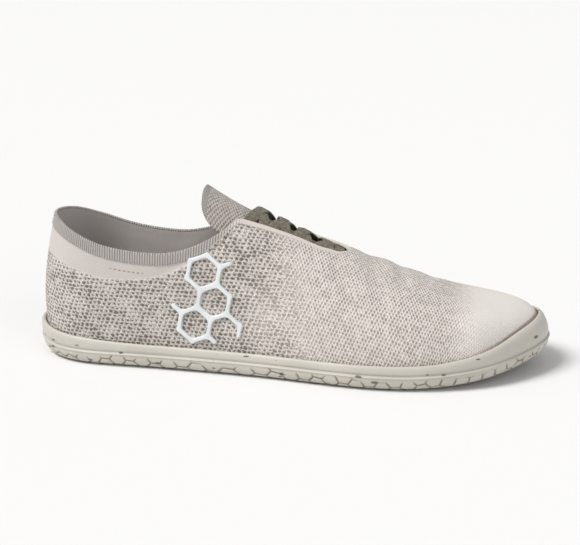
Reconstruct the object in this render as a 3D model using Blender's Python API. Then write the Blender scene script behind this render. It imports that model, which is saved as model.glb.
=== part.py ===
"""Barefoot shoe for the right foot: knitted upper in a flat cup sole with hexagon lugs.

Metres. +X points to the toe, +Z up and -Y to the outer side of the foot. The shoe stands on the plane
z = 0, with the middle of its bounding box over the origin.
"""
import bpy
import bmesh
import numpy as np

# Whole shoe
SOLE_LENGTH = 0.284
HEEL_WIDTH = 0.073
WAIST_WIDTH = 0.073
BALL_WIDTH = 0.106
TOE_WIDTH = 0.092
TOE_SPRING = 0.009
HEEL_SPRING = 0.0015
TOE_CURL_START = 0.72
HEEL_CURL_END = 0.07

# Sole
TREAD_DEPTH = 0.0026
FLOOR_HEIGHT = 0.0056
BAND_HEIGHT = 0.0084
GROOVE_DEPTH = 0.0010
GROOVE_HALF = 0.0006
RIM_WALL = 0.0027
SIDE_ROUND = 0.0060
RIM_AT_WAIST = 0.0136
RIM_AT_HEEL = 0.0172
RIM_AT_TOE = 0.0205
LUG_PITCH = 0.0132
LUG_GAP = 0.0015
WAIST_STRETCH = 0.40
STRETCH_PLACE = 0.40
STRETCH_REACH = 0.12

# Red insert in the middle of the sole
STRIPE_WIDTH = 0.0062
STRIPE_THICKNESS = 0.0022
STRIPE_RECESS = 0.0009

# Upper
UPPER_WALL = 0.0020
INSTEP_HEIGHT = 0.0900
TOE_BOX_HEIGHT = 0.0455
ANKLE_HEIGHT = 0.1170
HEEL_COLLAR_HEIGHT = 0.0790
SIDE_COLLAR_HEIGHT = 0.0630
THROAT_HALF_WIDTH = 0.0170
THROAT_END = 0.615
THROAT_ROUND = 0.010
HEM_WIDTH = 0.0050
HEM_STEP = 0.0006
HEM_SLOPE = 0.0007
HEEL_BULGE = 0.035
HEEL_BULGE_END = 0.32

# Insole and tongue
INSOLE_THICKNESS = 0.0030
TONGUE_THICKNESS = 0.0026
TONGUE_OVERLAP = 0.0120
TONGUE_TOP = 0.345
TONGUE_END = 0.672
TONGUE_TIP = 0.030
TONGUE_TIP_WIDTH = 0.72

# Laces
LACE_WIDTH = 0.0056
LACE_THICKNESS = 0.0010
LACE_RISE = 0.0017
LACE_REACH = 0.0055
LACE_FIRST = 0.592
LACE_LAST = 0.425
LACE_PAIRS = 5

# Net of raised hexagons on each side
NET_PITCH = 0.0165
NET_LINE = 0.0024
NET_THICKNESS = 0.0009
NET_PLACE = 0.340
NET_HEIGHT = 0.0208
NET_LEAN = 9.0

# Clearances between neighbours
GAP = 0.0004
SOFT_GAP = 0.0006
NET_GAP = 0.0008
LACE_GAP = 0.0010

WIDTHS = {"heel": HEEL_WIDTH, "waist": WAIST_WIDTH, "ball": BALL_WIDTH, "toe": TOE_WIDTH}

# Outline of the sole from above, from the heel round the outer side to the toe and back.
# Columns: share of the length, width that the row follows, share of it (+ inner side)
OUTLINE = (
    (0.000, "heel", 0.00),
    (0.020, "heel", -0.24),
    (0.085, "heel", -0.445),
    (0.190, "heel", -0.50),
    (0.345, "waist", -0.535),
    (0.480, "waist", -0.59),
    (0.600, "ball", -0.462),
    (0.695, "ball", -0.485),
    (0.790, "ball", -0.450),
    (0.885, "toe", -0.395),
    (0.955, "toe", -0.185),
    (1.000, "toe", 0.12),
    (0.980, "toe", 0.345),
    (0.930, "toe", 0.480),
    (0.840, "ball", 0.490),
    (0.730, "ball", 0.515),
    (0.600, "ball", 0.440),
    (0.480, "waist", 0.490),
    (0.360, "waist", 0.430),
    (0.220, "heel", 0.465),
    (0.100, "heel", 0.455),
    (0.025, "heel", 0.27),
)

# Ridge of the upper above the sole.
# Columns: share of the length, share of the ball width to the inner side, height, squareness
RIDGE = (
    (0.150, 0.000, ANKLE_HEIGHT, 2.60),
    (0.220, 0.000, 0.985 * ANKLE_HEIGHT, 2.55),
    (0.300, 0.010, 0.915 * ANKLE_HEIGHT, 2.45),
    (0.400, 0.030, INSTEP_HEIGHT, 2.30),
    (0.500, 0.045, 0.845 * INSTEP_HEIGHT, 2.20),
    (0.600, 0.045, 0.700 * INSTEP_HEIGHT, 2.20),
    (0.690, 0.035, 1.175 * TOE_BOX_HEIGHT, 2.30),
    (0.770, 0.025, TOE_BOX_HEIGHT, 2.45),
)

# Columns: share of the length, height of the collar's edge
COLLAR = (
    (0.000, HEEL_COLLAR_HEIGHT),
    (0.030, 0.975 * HEEL_COLLAR_HEIGHT),
    (0.090, 0.905 * HEEL_COLLAR_HEIGHT),
    (0.160, 1.040 * SIDE_COLLAR_HEIGHT),
    (0.230, SIDE_COLLAR_HEIGHT),
    (0.290, 1.010 * SIDE_COLLAR_HEIGHT),
    (0.340, 1.080 * SIDE_COLLAR_HEIGHT),
    (0.390, 1.210 * SIDE_COLLAR_HEIGHT),
    (0.440, 1.450 * SIDE_COLLAR_HEIGHT),
)

# Columns: share of the length, share of the throat's half width
THROAT = (
    (0.380, 1.25),
    (0.460, 1.02),
    (0.520, 0.88),
    (0.580, 0.72),
    (0.606, 0.42),
    (THROAT_END, 0.0),
)

# Columns: share of the length, height of the rim above the tread
RIM = (
    (0.000, RIM_AT_HEEL),
    (0.080, 0.930 * RIM_AT_HEEL),
    (0.200, 1.030 * RIM_AT_WAIST),
    (0.350, RIM_AT_WAIST),
    (0.700, RIM_AT_WAIST),
    (0.820, 1.050 * RIM_AT_WAIST),
    (0.900, 0.800 * RIM_AT_TOE),
    (0.960, 0.955 * RIM_AT_TOE),
    (1.000, RIM_AT_TOE),
)

# Columns: share of the length, share of the waist width to the inner side, share of the stripe's width
STRIPE = (
    (0.055, 0.00, 0.30),
    (0.100, 0.00, 0.85),
    (0.200, -0.02, 1.00),
    (0.300, -0.06, 0.90),
    (0.400, -0.11, 0.72),
    (0.480, -0.13, 0.45),
    (0.540, -0.13, 0.12),
)

HEEL_CENTRE = RIDGE[0][0]
TOE_CENTRE = RIDGE[-1][0]
CORNER_ROUND = 0.045
HEEL_SPOKES = 7
QUARTER_SPOKES = 13
VAMP_SPOKES = 5
TOE_SPOKES = 9
UPPER_ROWS = 9
OPEN_TURN = 0.12
FINE = 1e-6
FLAT_ANGLE = 0.012
SHARP_ANGLE = 35
CUT_MARGIN = 0.002


def clear_scene():
    for old in list(bpy.data.objects):
        bpy.data.objects.remove(old, do_unlink=True)


def curve_at(rows, column, share):
    """Smooth curve through one column of a table, read at shares of the length."""
    at = np.array([row[0] for row in rows])
    value = np.array([row[column] for row in rows])
    slope = np.gradient(value, at)
    share = np.clip(np.asarray(share, dtype=float), at[0], at[-1])
    left = np.clip(np.searchsorted(at, share, side="right") - 1, 0, len(at) - 2)
    span = at[left + 1] - at[left]
    t = (share - at[left]) / span
    start = value[left] * (1 + 2 * t) * (1 - t) ** 2 + slope[left] * span * t * (1 - t) ** 2
    end = value[left + 1] * (3 - 2 * t) * t ** 2 - slope[left + 1] * span * (1 - t) * t ** 2
    return start + end


def closed_curve(points, steps=60):
    """Closed cubic spline through the points, as many steps from each point to the next."""
    ahead = np.roll(points, -1, axis=0)
    span = np.linalg.norm(ahead - points, axis=1)
    before = np.roll(span, 1)
    count = len(points)
    system = np.zeros((count, count))
    index = np.arange(count)
    system[index, index] = 2 / before + 2 / span
    system[index, (index - 1) % count] = 1 / before
    system[index, (index + 1) % count] = 1 / span
    rise = (ahead - points) / span[:, None] ** 2
    slope = np.linalg.solve(system, 3 * (rise + np.roll(rise, 1, axis=0)))
    t = (np.arange(steps) / steps)[None, :, None]
    h = span[:, None, None]
    p, q = points[:, None], ahead[:, None]
    a, b = slope[:, None], np.roll(slope, -1, axis=0)[:, None]
    curve = p * (1 + 2 * t) * (1 - t) ** 2 + q * (3 - 2 * t) * t ** 2
    curve = curve + h * t * (1 - t) * (a * (1 - t) - b * t)
    return curve.reshape(-1, 2)


def sole_outline():
    """Outline of the sole round the origin, and the outward direction at each of its points."""
    rows = [(share * SOLE_LENGTH, part * WIDTHS[name]) for share, name, part in OUTLINE]
    ring = closed_curve(np.array(rows))
    low, high = ring.min(axis=0), ring.max(axis=0)
    ring[:, 0] = (ring[:, 0] - low[0]) * SOLE_LENGTH / (high[0] - low[0]) - SOLE_LENGTH / 2
    middle = (low[1] + high[1]) / 2
    ring[:, 1] -= middle
    along = np.roll(ring, -1, axis=0) - np.roll(ring, 1, axis=0)
    out = np.stack([along[:, 1], -along[:, 0]], axis=1)
    return ring, out / np.linalg.norm(out, axis=1)[:, None], middle


RING, RING_OUT, MIDDLE = sole_outline()


def share_of(x):
    return x / SOLE_LENGTH + 0.5


def x_at(share):
    return (np.asarray(share) - 0.5) * SOLE_LENGTH


def ground(x):
    """Height of the tread: flat, curling up at the toe and a little at the heel."""
    share = share_of(x)
    toe = np.clip((share - TOE_CURL_START) / (1 - TOE_CURL_START), 0, 1) ** 2
    heel = np.clip(1 - share / HEEL_CURL_END, 0, 1) ** 2
    return TOE_SPRING * toe + HEEL_SPRING * heel


def spoke(station, side):
    """Middle point and direction of each spoke.

    Stations 0 to 1 turn about the heel's centre from the back to the side, 1 to 2 run along the shoe
    and 2 to 3 turn about the toe's centre to the tip. Side is -1 outer or +1 inner.
    """
    along = np.clip(station - 1, 0, 1)
    share = HEEL_CENTRE + along * (TOE_CENTRE - HEEL_CENTRE)
    middle = curve_at(RIDGE, 1, share) * BALL_WIDTH - MIDDLE
    centre = np.stack([x_at(share), middle], axis=-1)
    turn = (np.minimum(station, 1) - 1 + np.maximum(station, 2) - 2) * np.pi / 2
    way = np.stack([np.sin(turn), side * np.cos(turn)], axis=-1)
    return centre, way


def edge(station, side, inset):
    """Points where the spokes cross the sole's outline, moved in by an inset."""
    centre, way = spoke(station, side)
    ring = RING - RING_OUT * inset
    offset = ring[None] - centre[:, None]
    across = way[:, :1] * offset[:, :, 1] - way[:, 1:] * offset[:, :, 0]
    ahead = way[:, :1] * offset[:, :, 0] + way[:, 1:] * offset[:, :, 1] > 0
    following = np.roll(across, -1, axis=1)
    hit = np.argmax((across * following <= 0) & ahead, axis=1)
    pick = np.arange(len(hit))
    part = across[pick, hit] / (across[pick, hit] - following[pick, hit])
    start = ring[hit]
    return start + (ring[(hit + 1) % len(ring)] - start) * part[:, None]


UPPER_INSET = RIM_WALL + GAP


def rise_and_reach(station, side):
    """Height where the upper starts, height of its ridge, squareness and heel weight of each spoke."""
    centre, _ = spoke(station, side)
    foot = edge(station, side, UPPER_INSET)
    share = share_of(centre[:, 0])
    low = FLOOR_HEIGHT + GAP + ground(foot[:, 0])
    top = curve_at(RIDGE, 2, share)
    square = curve_at(RIDGE, 3, share)
    heel = HEEL_BULGE * np.clip(1 - share_of(foot[:, 0]) / HEEL_BULGE_END, 0, 1)
    return low, top, square, heel


def reach(height_share, square, heel):
    """Share of a spoke's length at a share of the height: an oval with a fuller heel."""
    oval = (1 - height_share ** square) ** (1 / square)
    return oval * (1 + heel * np.sin(np.pi * np.clip(height_share / 0.5, 0, 2)))


def bare_skin(station, side, turn):
    """Outside of the upper at turns from 0 at the sole to a quarter circle at the ridge."""
    centre, _ = spoke(station, side)
    foot = edge(station, side, UPPER_INSET)
    low, top, square, heel = (v[:, None] for v in rise_and_reach(station, side))
    height = np.sin(turn) ** (2 / square)
    out = reach(height, square, heel)
    spot = centre[:, None] + (foot - centre)[:, None] * out[..., None]
    slope = ridge_slope(centre[:, 0])[:, None]
    lean = slope * (spot[..., 0] - centre[:, :1]) * (1 - out ** 2) ** 2
    z = low + (top - low) * height + np.where(station[:, None] > 2, lean, 0)
    return np.concatenate([spot, z[..., None]], axis=-1)


def ridge_slope(x):
    step = 0.002
    share = share_of(x)
    rise = curve_at(RIDGE, 2, share + step) - curve_at(RIDGE, 2, share - step)
    run = np.clip(share + step, RIDGE[0][0], TOE_CENTRE) - np.clip(share - step, RIDGE[0][0], TOE_CENTRE)
    return rise / run / SOLE_LENGTH


def skin(station, side, turn, lift):
    """Outside of the upper, lifted along its normal."""
    spot = bare_skin(station, side, turn)
    step = 0.01
    held = np.clip(turn, 2 * step, np.pi / 2 - 2 * step)
    along = bare_skin(station + step, side, held) - bare_skin(station - step, side, held)
    up = bare_skin(station, side, held + step) - bare_skin(station, side, held - step)
    normal = np.cross(along, up) * (-np.broadcast_to(side, station.shape))[:, None, None]
    slope = ridge_slope(spoke(station, side)[0][:, 0])[:, None]
    level = np.stack(np.broadcast_arrays(-slope, 0.0, 1.0), axis=-1)
    normal = np.where((turn > np.pi / 2 - FINE)[..., None], level, normal)
    normal = normal / np.linalg.norm(normal, axis=-1)[..., None]
    return spot + normal * np.broadcast_to(lift, turn.shape)[..., None]


def turns_at(station, side, distances, from_ridge=False):
    """Turns that lie at given distances over the skin, from the sole or down from the ridge."""
    fan = np.linspace(0, 1, 90) ** 1.3 * np.pi / 2
    turn = np.repeat(fan[None], len(station), axis=0)
    line = bare_skin(station, side, turn)
    step = np.linalg.norm(np.diff(line, axis=1), axis=2)
    run = np.concatenate([np.zeros((len(station), 1)), np.cumsum(step, axis=1)], axis=1)
    if from_ridge:
        distances = run[:, -1:] - distances
    return np.array([np.interp(want, length, fan) for want, length in zip(distances, run)])


def skin_length(station, side, turn):
    """Distance over the skin from the sole to one turn for each spoke."""
    fan = np.linspace(0, 1, 90)[None] * turn[:, None]
    line = bare_skin(station, side, fan)
    return np.linalg.norm(np.diff(line, axis=1), axis=2).sum(axis=1)


def station_of(share):
    return 1 + (np.asarray(share) - HEEL_CENTRE) / (TOE_CENTRE - HEEL_CENTRE)


def edge_turn(station, side):
    """Turn of the opening's edge: the collar by its height, the throat by its width, else the ridge."""
    centre, _ = spoke(station, side)
    foot = edge(station, side, UPPER_INSET)
    low, top, square, heel = rise_and_reach(station, side)
    share = np.where(station < 1, share_of(foot[:, 0]), share_of(centre[:, 0]))
    wanted = np.clip((curve_at(COLLAR, 1, share) - low) / (top - low), 0, 1)
    collar = np.arcsin(wanted ** (square / 2))
    half = curve_at(THROAT, 1, share) * THROAT_HALF_WIDTH / np.linalg.norm(foot - centre, axis=1)
    throat = np.arccos(np.clip(half, 0, 1) ** (square / 2))
    collar = np.where(share > COLLAR[-1][0], np.pi / 2, collar)
    turn = -CORNER_ROUND * np.log(np.exp(-collar / CORNER_ROUND) + np.exp(-throat / CORNER_ROUND))
    return np.where(share > THROAT_END - FINE, np.pi / 2, turn)


def ring_stations():
    """Stations and sides of the spokes right round the shoe, from the heel by the outer side."""
    heel = np.arange(0, HEEL_SPOKES) / HEEL_SPOKES
    throat_end = station_of(THROAT_END)
    quarter = np.linspace(1, throat_end, QUARTER_SPOKES, endpoint=False)
    close = station_of(THROAT_END - THROAT_ROUND)
    vamp = np.linspace(throat_end, 2, VAMP_SPOKES, endpoint=False)
    toe = 2 + np.arange(0, TOE_SPOKES + 1) / TOE_SPOKES
    half = np.concatenate([heel, quarter, [close], vamp, toe])
    station = np.concatenate([half, half[-2:0:-1]])
    side = np.where(np.arange(len(station)) < len(half), -1.0, 1.0)
    return station, side


STATION, SIDE = ring_stations()


def material(name, colour, roughness):
    made = bpy.data.materials.new(name)
    made.use_nodes = True
    shader = made.node_tree.nodes["Principled BSDF"]
    shader.inputs["Base Color"].default_value = (*colour, 1.0)
    shader.inputs["Roughness"].default_value = roughness
    shader.inputs["Metallic"].default_value = 0.0
    return made


def make_object(name, points, faces, look, smooth=True):
    """Object from points and faces, with doubles merged and its faces turned outwards."""
    mesh = bpy.data.meshes.new(name)
    work = bmesh.new()
    corners = [work.verts.new(point) for point in points]
    for face in faces:
        work.faces.new([corners[i] for i in face])
    bmesh.ops.remove_doubles(work, verts=work.verts, dist=FINE)
    bmesh.ops.dissolve_degenerate(work, dist=FINE, edges=work.edges)
    bmesh.ops.recalc_face_normals(work, faces=work.faces)
    work.to_mesh(mesh)
    work.free()
    if smooth:
        mesh.shade_smooth()
        mesh.set_sharp_from_angle(angle=np.radians(SHARP_ANGLE))
    made = bpy.data.objects.new(name, mesh)
    made.data.materials.append(look)
    bpy.context.scene.collection.objects.link(made)
    return made


def ring_body(name, rows, look, loop=False, skip=None):
    """Body from rings of points, each row one ring round the shoe.

    The first and last row lie on the middle line unless the rows close in a loop. Skip names a row
    and the spokes whose faces are left out of the band that starts there.
    """
    count = len(rows[0])
    points = np.concatenate(rows)
    faces = []
    bands = len(rows) if loop else len(rows) - 1
    for band in range(bands):
        following = (band + 1) % len(rows)
        for i in range(count):
            j = (i + 1) % count
            if skip and band == skip[0] and skip[1][i] and skip[1][j]:
                continue
            face = [band * count + i, band * count + j, following * count + j, following * count + i]
            faces.append(face)
    return make_object(name, points, faces, look)


def middle_row(height):
    centre, _ = spoke(STATION, SIDE)
    return np.column_stack([centre, ground(centre[:, 0]) + height])


def side_row(inset, height):
    """Ring at an inset from the sole's outline, following the upper's lean above the floor."""
    centre, _ = spoke(STATION, SIDE)
    spot = edge(STATION, SIDE, inset)
    z = ground(spot[:, 0]) + height
    low, top, square, heel = rise_and_reach(STATION, SIDE)
    out = reach(np.clip((z - low) / (top - low), 0, 1), square, heel)
    return np.column_stack([centre + (spot - centre) * out[:, None], z])


def rim_height():
    return curve_at(RIM, 1, share_of(edge(STATION, SIDE, 0)[:, 0]))


def cutter(made):
    made.hide_render = True
    made.display_type = "WIRE"
    return made


def combine(made, other, operation):
    change = made.modifiers.new(operation.lower(), "BOOLEAN")
    change.operation = operation
    change.solver = "EXACT"
    change.object = other


def cup(look):
    """Sole without its lugs: underside, side with its groove, rounded rim and the well for the foot."""
    rim = rim_height()
    drop = rim - FLOOR_HEIGHT
    wall = RIM_WALL
    rows = [
        middle_row(TREAD_DEPTH),
        side_row(1.4 * SIDE_ROUND, TREAD_DEPTH),
        side_row(0.55 * SIDE_ROUND, 1.2 * TREAD_DEPTH),
        side_row(0.22 * SIDE_ROUND, 0.62 * SIDE_ROUND),
        side_row(0.06 * SIDE_ROUND, 0.90 * SIDE_ROUND),
        side_row(0, 1.12 * SIDE_ROUND),
        side_row(0, BAND_HEIGHT - GROOVE_HALF),
        side_row(GROOVE_DEPTH, BAND_HEIGHT),
        side_row(0, BAND_HEIGHT + GROOVE_HALF),
        side_row(0.10 * wall, rim - 0.55 * wall),
        side_row(0.50 * wall, rim),
        side_row(wall, rim - 0.12 * wall),
        side_row(wall, FLOOR_HEIGHT + 0.62 * drop),
        side_row(wall, FLOOR_HEIGHT + 0.30 * drop),
        side_row(wall, FLOOR_HEIGHT),
        middle_row(FLOOR_HEIGHT),
    ]
    return ring_body("outsole", rows, look)


def tread_block(look):
    """Block that the lugs are shaped from: it rounds from the ground up the side of the cup."""
    rows = [
        middle_row(0),
        side_row(1.35 * SIDE_ROUND, 0),
        side_row(0.75 * SIDE_ROUND, 0.05 * SIDE_ROUND),
        side_row(0.30 * SIDE_ROUND, 0.30 * SIDE_ROUND),
        side_row(0.08 * SIDE_ROUND, 0.64 * SIDE_ROUND),
        side_row(0.02 * SIDE_ROUND, 0.94 * SIDE_ROUND),
        side_row(0.30 * SIDE_ROUND, 0.98 * SIDE_ROUND),
        side_row(0.80 * SIDE_ROUND, 1.45 * TREAD_DEPTH),
        middle_row(1.45 * TREAD_DEPTH),
    ]
    return cutter(ring_body("tread_block", rows, look))


def waist_stretch(x):
    """How much longer the lugs are than wide, most at the waist."""
    return 1 + WAIST_STRETCH * np.exp(-((share_of(x) - STRETCH_PLACE) / STRETCH_REACH) ** 2)


def inside_by(spot):
    """Distance from a point to the sole's outline, positive inside."""
    away = spot - RING
    near = np.argmin((away ** 2).sum(axis=1))
    return -float(away[near] @ RING_OUT[near])


def lug_prisms(look):
    """Six-sided lugs in staggered columns from the heel to the toe."""
    corner = np.radians(np.arange(6) * 60)
    radius = (LUG_PITCH - LUG_GAP) / np.sqrt(3)
    low, high = -CUT_MARGIN, FLOOR_HEIGHT + TOE_SPRING + SIDE_ROUND
    points, faces = [], []
    x, column = -SOLE_LENGTH / 2 + 0.35 * LUG_PITCH, 0
    while x < SOLE_LENGTH / 2:
        stretch = waist_stretch(x)
        shift = 0.5 * LUG_PITCH * (column % 2)
        rows = int(BALL_WIDTH / LUG_PITCH / 2) + 1
        for row in range(-rows, rows + 1):
            spot = np.array([x, row * LUG_PITCH + shift])
            if inside_by(spot) < 0.16 * LUG_PITCH:
                continue
            base = len(points)
            for z in (low, high):
                for angle in corner:
                    along = spot[0] + radius * np.cos(angle) * stretch
                    points.append((along, spot[1] + radius * np.sin(angle), z))
            ring = list(range(base, base + 6))
            faces.append(ring[::-1])
            faces.append([i + 6 for i in ring])
            for i in range(6):
                j = (i + 1) % 6
                faces.append([base + i, base + j, base + j + 6, base + i + 6])
        x += np.sqrt(3) / 2 * LUG_PITCH * stretch
        column += 1
    return cutter(make_object("lug_prisms", points, faces, look, smooth=False))


def stripe_plan(grow):
    """Left and right edge of the stripe seen from above, widened by a clearance."""
    share = np.linspace(STRIPE[0][0], STRIPE[-1][0], 19)
    x = x_at(share)
    y = curve_at(STRIPE, 1, share) * WAIST_WIDTH - MIDDLE
    half = curve_at(STRIPE, 2, share) * STRIPE_WIDTH / 2 + grow
    x[0] -= grow
    x[-1] += grow
    return x, y - half, y + half


def stripe_solid(name, grow, low, high, look):
    x, outer, inner = stripe_plan(grow)
    rows = []
    for y, z in ((outer, low), (inner, low), (inner, high), (outer, high)):
        rows.append(np.column_stack([x, y, ground(x) + z]))
    points = np.stack(rows, axis=1).reshape(-1, 3)
    faces = [[0, 1, 2, 3]]
    for i in range(len(x) - 1):
        for k in range(4):
            following = (k + 1) % 4
            faces.append([4 * i + k, 4 * i + following, 4 * i + 4 + following, 4 * i + 4 + k])
    last = 4 * (len(x) - 1)
    faces.append([last + 3, last + 2, last + 1, last])
    return make_object(name, points, faces, look, smooth=False)


def make_sole():
    rubber = material("rubber", (0.56, 0.53, 0.47), 0.55)
    red = material("red_rubber", (0.30, 0.05, 0.05), 0.50)
    sole = cup(rubber)
    lugs = lug_prisms(rubber)
    combine(lugs, tread_block(rubber), "INTERSECT")
    combine(sole, lugs, "UNION")
    top = STRIPE_RECESS + STRIPE_THICKNESS
    channel = cutter(stripe_solid("stripe_channel", GAP, -CUT_MARGIN, top + GAP, rubber))
    combine(sole, channel, "DIFFERENCE")
    flatten = sole.modifiers.new("flatten", "DECIMATE")
    flatten.decimate_type = "DISSOLVE"
    flatten.angle_limit = FLAT_ANGLE
    stripe_solid("sole_stripe", 0, STRIPE_RECESS, top, red)


def make_insole():
    fabric = material("insole_fabric", (0.05, 0.045, 0.04), 0.9)
    inset = UPPER_INSET + UPPER_WALL + SOFT_GAP
    low = FLOOR_HEIGHT + GAP
    high = low + INSOLE_THICKNESS
    rows = [
        middle_row(low),
        side_row(inset, low),
        side_row(inset, high),
        middle_row(high),
    ]
    ring_body("insole", rows, fabric)


def upper_rows():
    """Distances over the skin of the upper's rings: even rings, then the step of the hem."""
    turn = edge_turn(STATION, SIDE)
    full = skin_length(STATION, SIDE, turn)
    even = full - HEM_WIDTH - HEM_SLOPE
    part = np.linspace(0, 1, UPPER_ROWS)[None]
    rows = np.concatenate([even[:, None] * part, (full - HEM_WIDTH)[:, None], full[:, None]], axis=1)
    turns = turns_at(STATION, SIDE, rows)
    turns[:, -1] = turn
    return turns


def make_upper():
    knit = material("knit", (0.50, 0.44, 0.41), 0.9)
    turns = upper_rows()
    closed = turns[:, -1] > np.pi / 2 - FINE
    open_part = np.clip((np.pi / 2 - turns[:, -1]) / OPEN_TURN, 0, 1)
    lift = np.zeros(turns.shape)
    lift[:, -2:] = (HEM_STEP * open_part)[:, None]
    outer = skin(STATION, SIDE, turns, lift)
    inner = skin(STATION, SIDE, turns, -UPPER_WALL)
    inner[:, 0, 2] = outer[:, 0, 2]
    rows = list(outer.transpose(1, 0, 2)) + list(inner.transpose(1, 0, 2)[::-1])
    ring_body("upper", rows, knit, loop=True, skip=(len(rows) // 2 - 1, closed))


def thick_sheet(name, faces, lower, upper, look):
    """Body between two copies of one sheet of faces, with a wall along the sheet's free edges."""
    count = len(lower)
    used = {}
    for face in faces:
        for a, b in zip(face, face[1:] + face[:1]):
            key = (min(a, b), max(a, b))
            used.setdefault(key, []).append((a, b))
    body = [list(face) for face in faces]
    body += [[i + count for i in reversed(face)] for face in faces]
    for sides in used.values():
        if len(sides) == 1:
            a, b = sides[0]
            body.append([b, a, a + count, b + count])
    return make_object(name, np.concatenate([upper, lower]), body, look)


def over_ridge(share, across, lift):
    """Points on the upper's skin at a share of the length and a distance from the ridge."""
    station = station_of(share)
    side = np.where(across < 0, -1.0, 1.0)
    turn = turns_at(station, side, np.abs(across)[:, None], from_ridge=True)
    turn[np.abs(across) < FINE] = np.pi / 2
    return skin(station, side, turn, np.broadcast_to(lift, across.shape)[:, None])[:, 0]


def make_tongue():
    """Tongue under the throat: it hugs the upper in front and stands clear of the laces behind."""
    knit = material("tongue_knit", (0.42, 0.37, 0.34), 0.9)
    share = np.linspace(TONGUE_TOP, TONGUE_END, 15)
    part = np.linspace(-1, 1, 9)
    half = curve_at(THROAT, 1, share) * THROAT_HALF_WIDTH + TONGUE_OVERLAP
    crown = np.clip((share - TONGUE_TOP) / TONGUE_TIP, 0, 1) ** 0.5
    half = half * (TONGUE_TIP_WIDTH + (1 - TONGUE_TIP_WIDTH) * crown)
    under_laces = UPPER_WALL + LACE_GAP + LACE_THICKNESS + 1.5 * SOFT_GAP
    under_vamp = UPPER_WALL + SOFT_GAP
    start = THROAT_END - THROAT_ROUND
    front = np.clip((share - start) / (TONGUE_END - THROAT_END - THROAT_ROUND), 0, 1)
    depth = under_laces + (under_vamp - under_laces) * front
    grid_share = np.repeat(share, len(part))
    grid_across = (half[:, None] * part[None]).ravel()
    grid_depth = np.repeat(depth, len(part))
    upper = over_ridge(grid_share, grid_across, -grid_depth)
    lower = over_ridge(grid_share, grid_across, -grid_depth - TONGUE_THICKNESS)
    faces = []
    for i in range(len(share) - 1):
        for j in range(len(part) - 1):
            a = i * len(part) + j
            faces.append([a, a + len(part), a + len(part) + 1, a + 1])
    thick_sheet("tongue", faces, lower, upper, knit)


class Net:
    """Flat net of strips of one width: points of the plan joined by straight lines."""

    def __init__(self, width):
        self.width = width
        self.nodes = []
        self.arms = []

    def node(self, spot):
        for i, known in enumerate(self.nodes):
            if np.hypot(*(known - spot)) < 1e-5:
                return i
        self.nodes.append(np.array(spot, dtype=float))
        self.arms.append([])
        return len(self.nodes) - 1

    def line(self, start, end):
        a, b = self.node(start), self.node(end)
        if b not in self.arms[a]:
            self.arms[a].append(b)
            self.arms[b].append(a)

    def corners(self, i):
        """Corner points round a node, keyed by the arms before and after each corner."""
        here = self.nodes[i]
        half = self.width / 2

        def bearing(j):
            return np.arctan2(*(self.nodes[j] - here)[::-1])

        order = sorted(self.arms[i], key=bearing)
        if len(order) == 1:
            angle = bearing(order[0])
            side = np.array([-np.sin(angle), np.cos(angle)]) * half
            return order, {("left", order[0]): here + side, ("right", order[0]): here - side}
        found = {}
        for arm, following in zip(order, order[1:] + order[:1]):
            start = bearing(arm)
            opening = (bearing(following) - start) % (2 * np.pi)
            away = half / np.sin(opening / 2)
            if opening > np.pi:
                away = min(away, 1.3 * half)
            middle = start + opening / 2
            spot = here + away * np.array([np.cos(middle), np.sin(middle)])
            found["left", arm] = spot
            found["right", following] = spot
        return order, found

    def sheet(self, steps):
        """Points and faces of the net, each strip cut into steps along its length."""
        points, faces = [], []

        def point(spot):
            for k, known in enumerate(points):
                if np.hypot(*(known - spot)) < 1e-6:
                    return k
            points.append(spot)
            return len(points) - 1

        rings = [self.corners(i) for i in range(len(self.nodes))]
        for i, (order, found) in enumerate(rings):
            if len(order) > 2:
                faces.append([point(found["left", arm]) for arm in order])
            for j in order:
                if j < i:
                    continue
                other = rings[j][1]
                left = np.linspace(found["left", j], other["right", i], steps + 1)
                right = np.linspace(found["right", j], other["left", i], steps + 1)
                for k in range(steps):
                    faces.append([point(right[k]), point(right[k + 1]), point(left[k + 1]), point(left[k])])
        return np.array(points), faces


def lace_plan():
    """Criss-cross laces: each pair of ends is joined to the next pair by two crossing lines."""
    net = Net(LACE_WIDTH)
    share = np.linspace(LACE_FIRST, LACE_LAST, LACE_PAIRS)
    x = x_at(share)
    half = curve_at(THROAT, 1, share) * THROAT_HALF_WIDTH + LACE_REACH
    net.line((x[0], -half[0]), (x[0], half[0]))
    for i in range(LACE_PAIRS - 1):
        meet = half[i] / (half[i] + half[i + 1])
        cross = (x[i] + (x[i + 1] - x[i]) * meet, 0.0)
        for side in (-1, 1):
            net.line((x[i], side * half[i]), cross)
            net.line(cross, (x[i + 1], side * half[i + 1]))
    return net


def make_laces():
    woven = material("lace", (0.17, 0.15, 0.11), 0.85)
    points, faces = lace_plan().sheet(3)
    share = share_of(points[:, 0])
    across = points[:, 1]
    gap = curve_at(THROAT, 1, share) * THROAT_HALF_WIDTH
    rise = LACE_RISE * np.clip(1 - (across / np.maximum(gap, FINE)) ** 2, 0, 1)
    top = -UPPER_WALL - LACE_GAP + rise
    upper = over_ridge(share, across, top)
    lower = over_ridge(share, across, top - LACE_THICKNESS)
    thick_sheet("laces", faces, lower, upper, woven)


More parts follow.
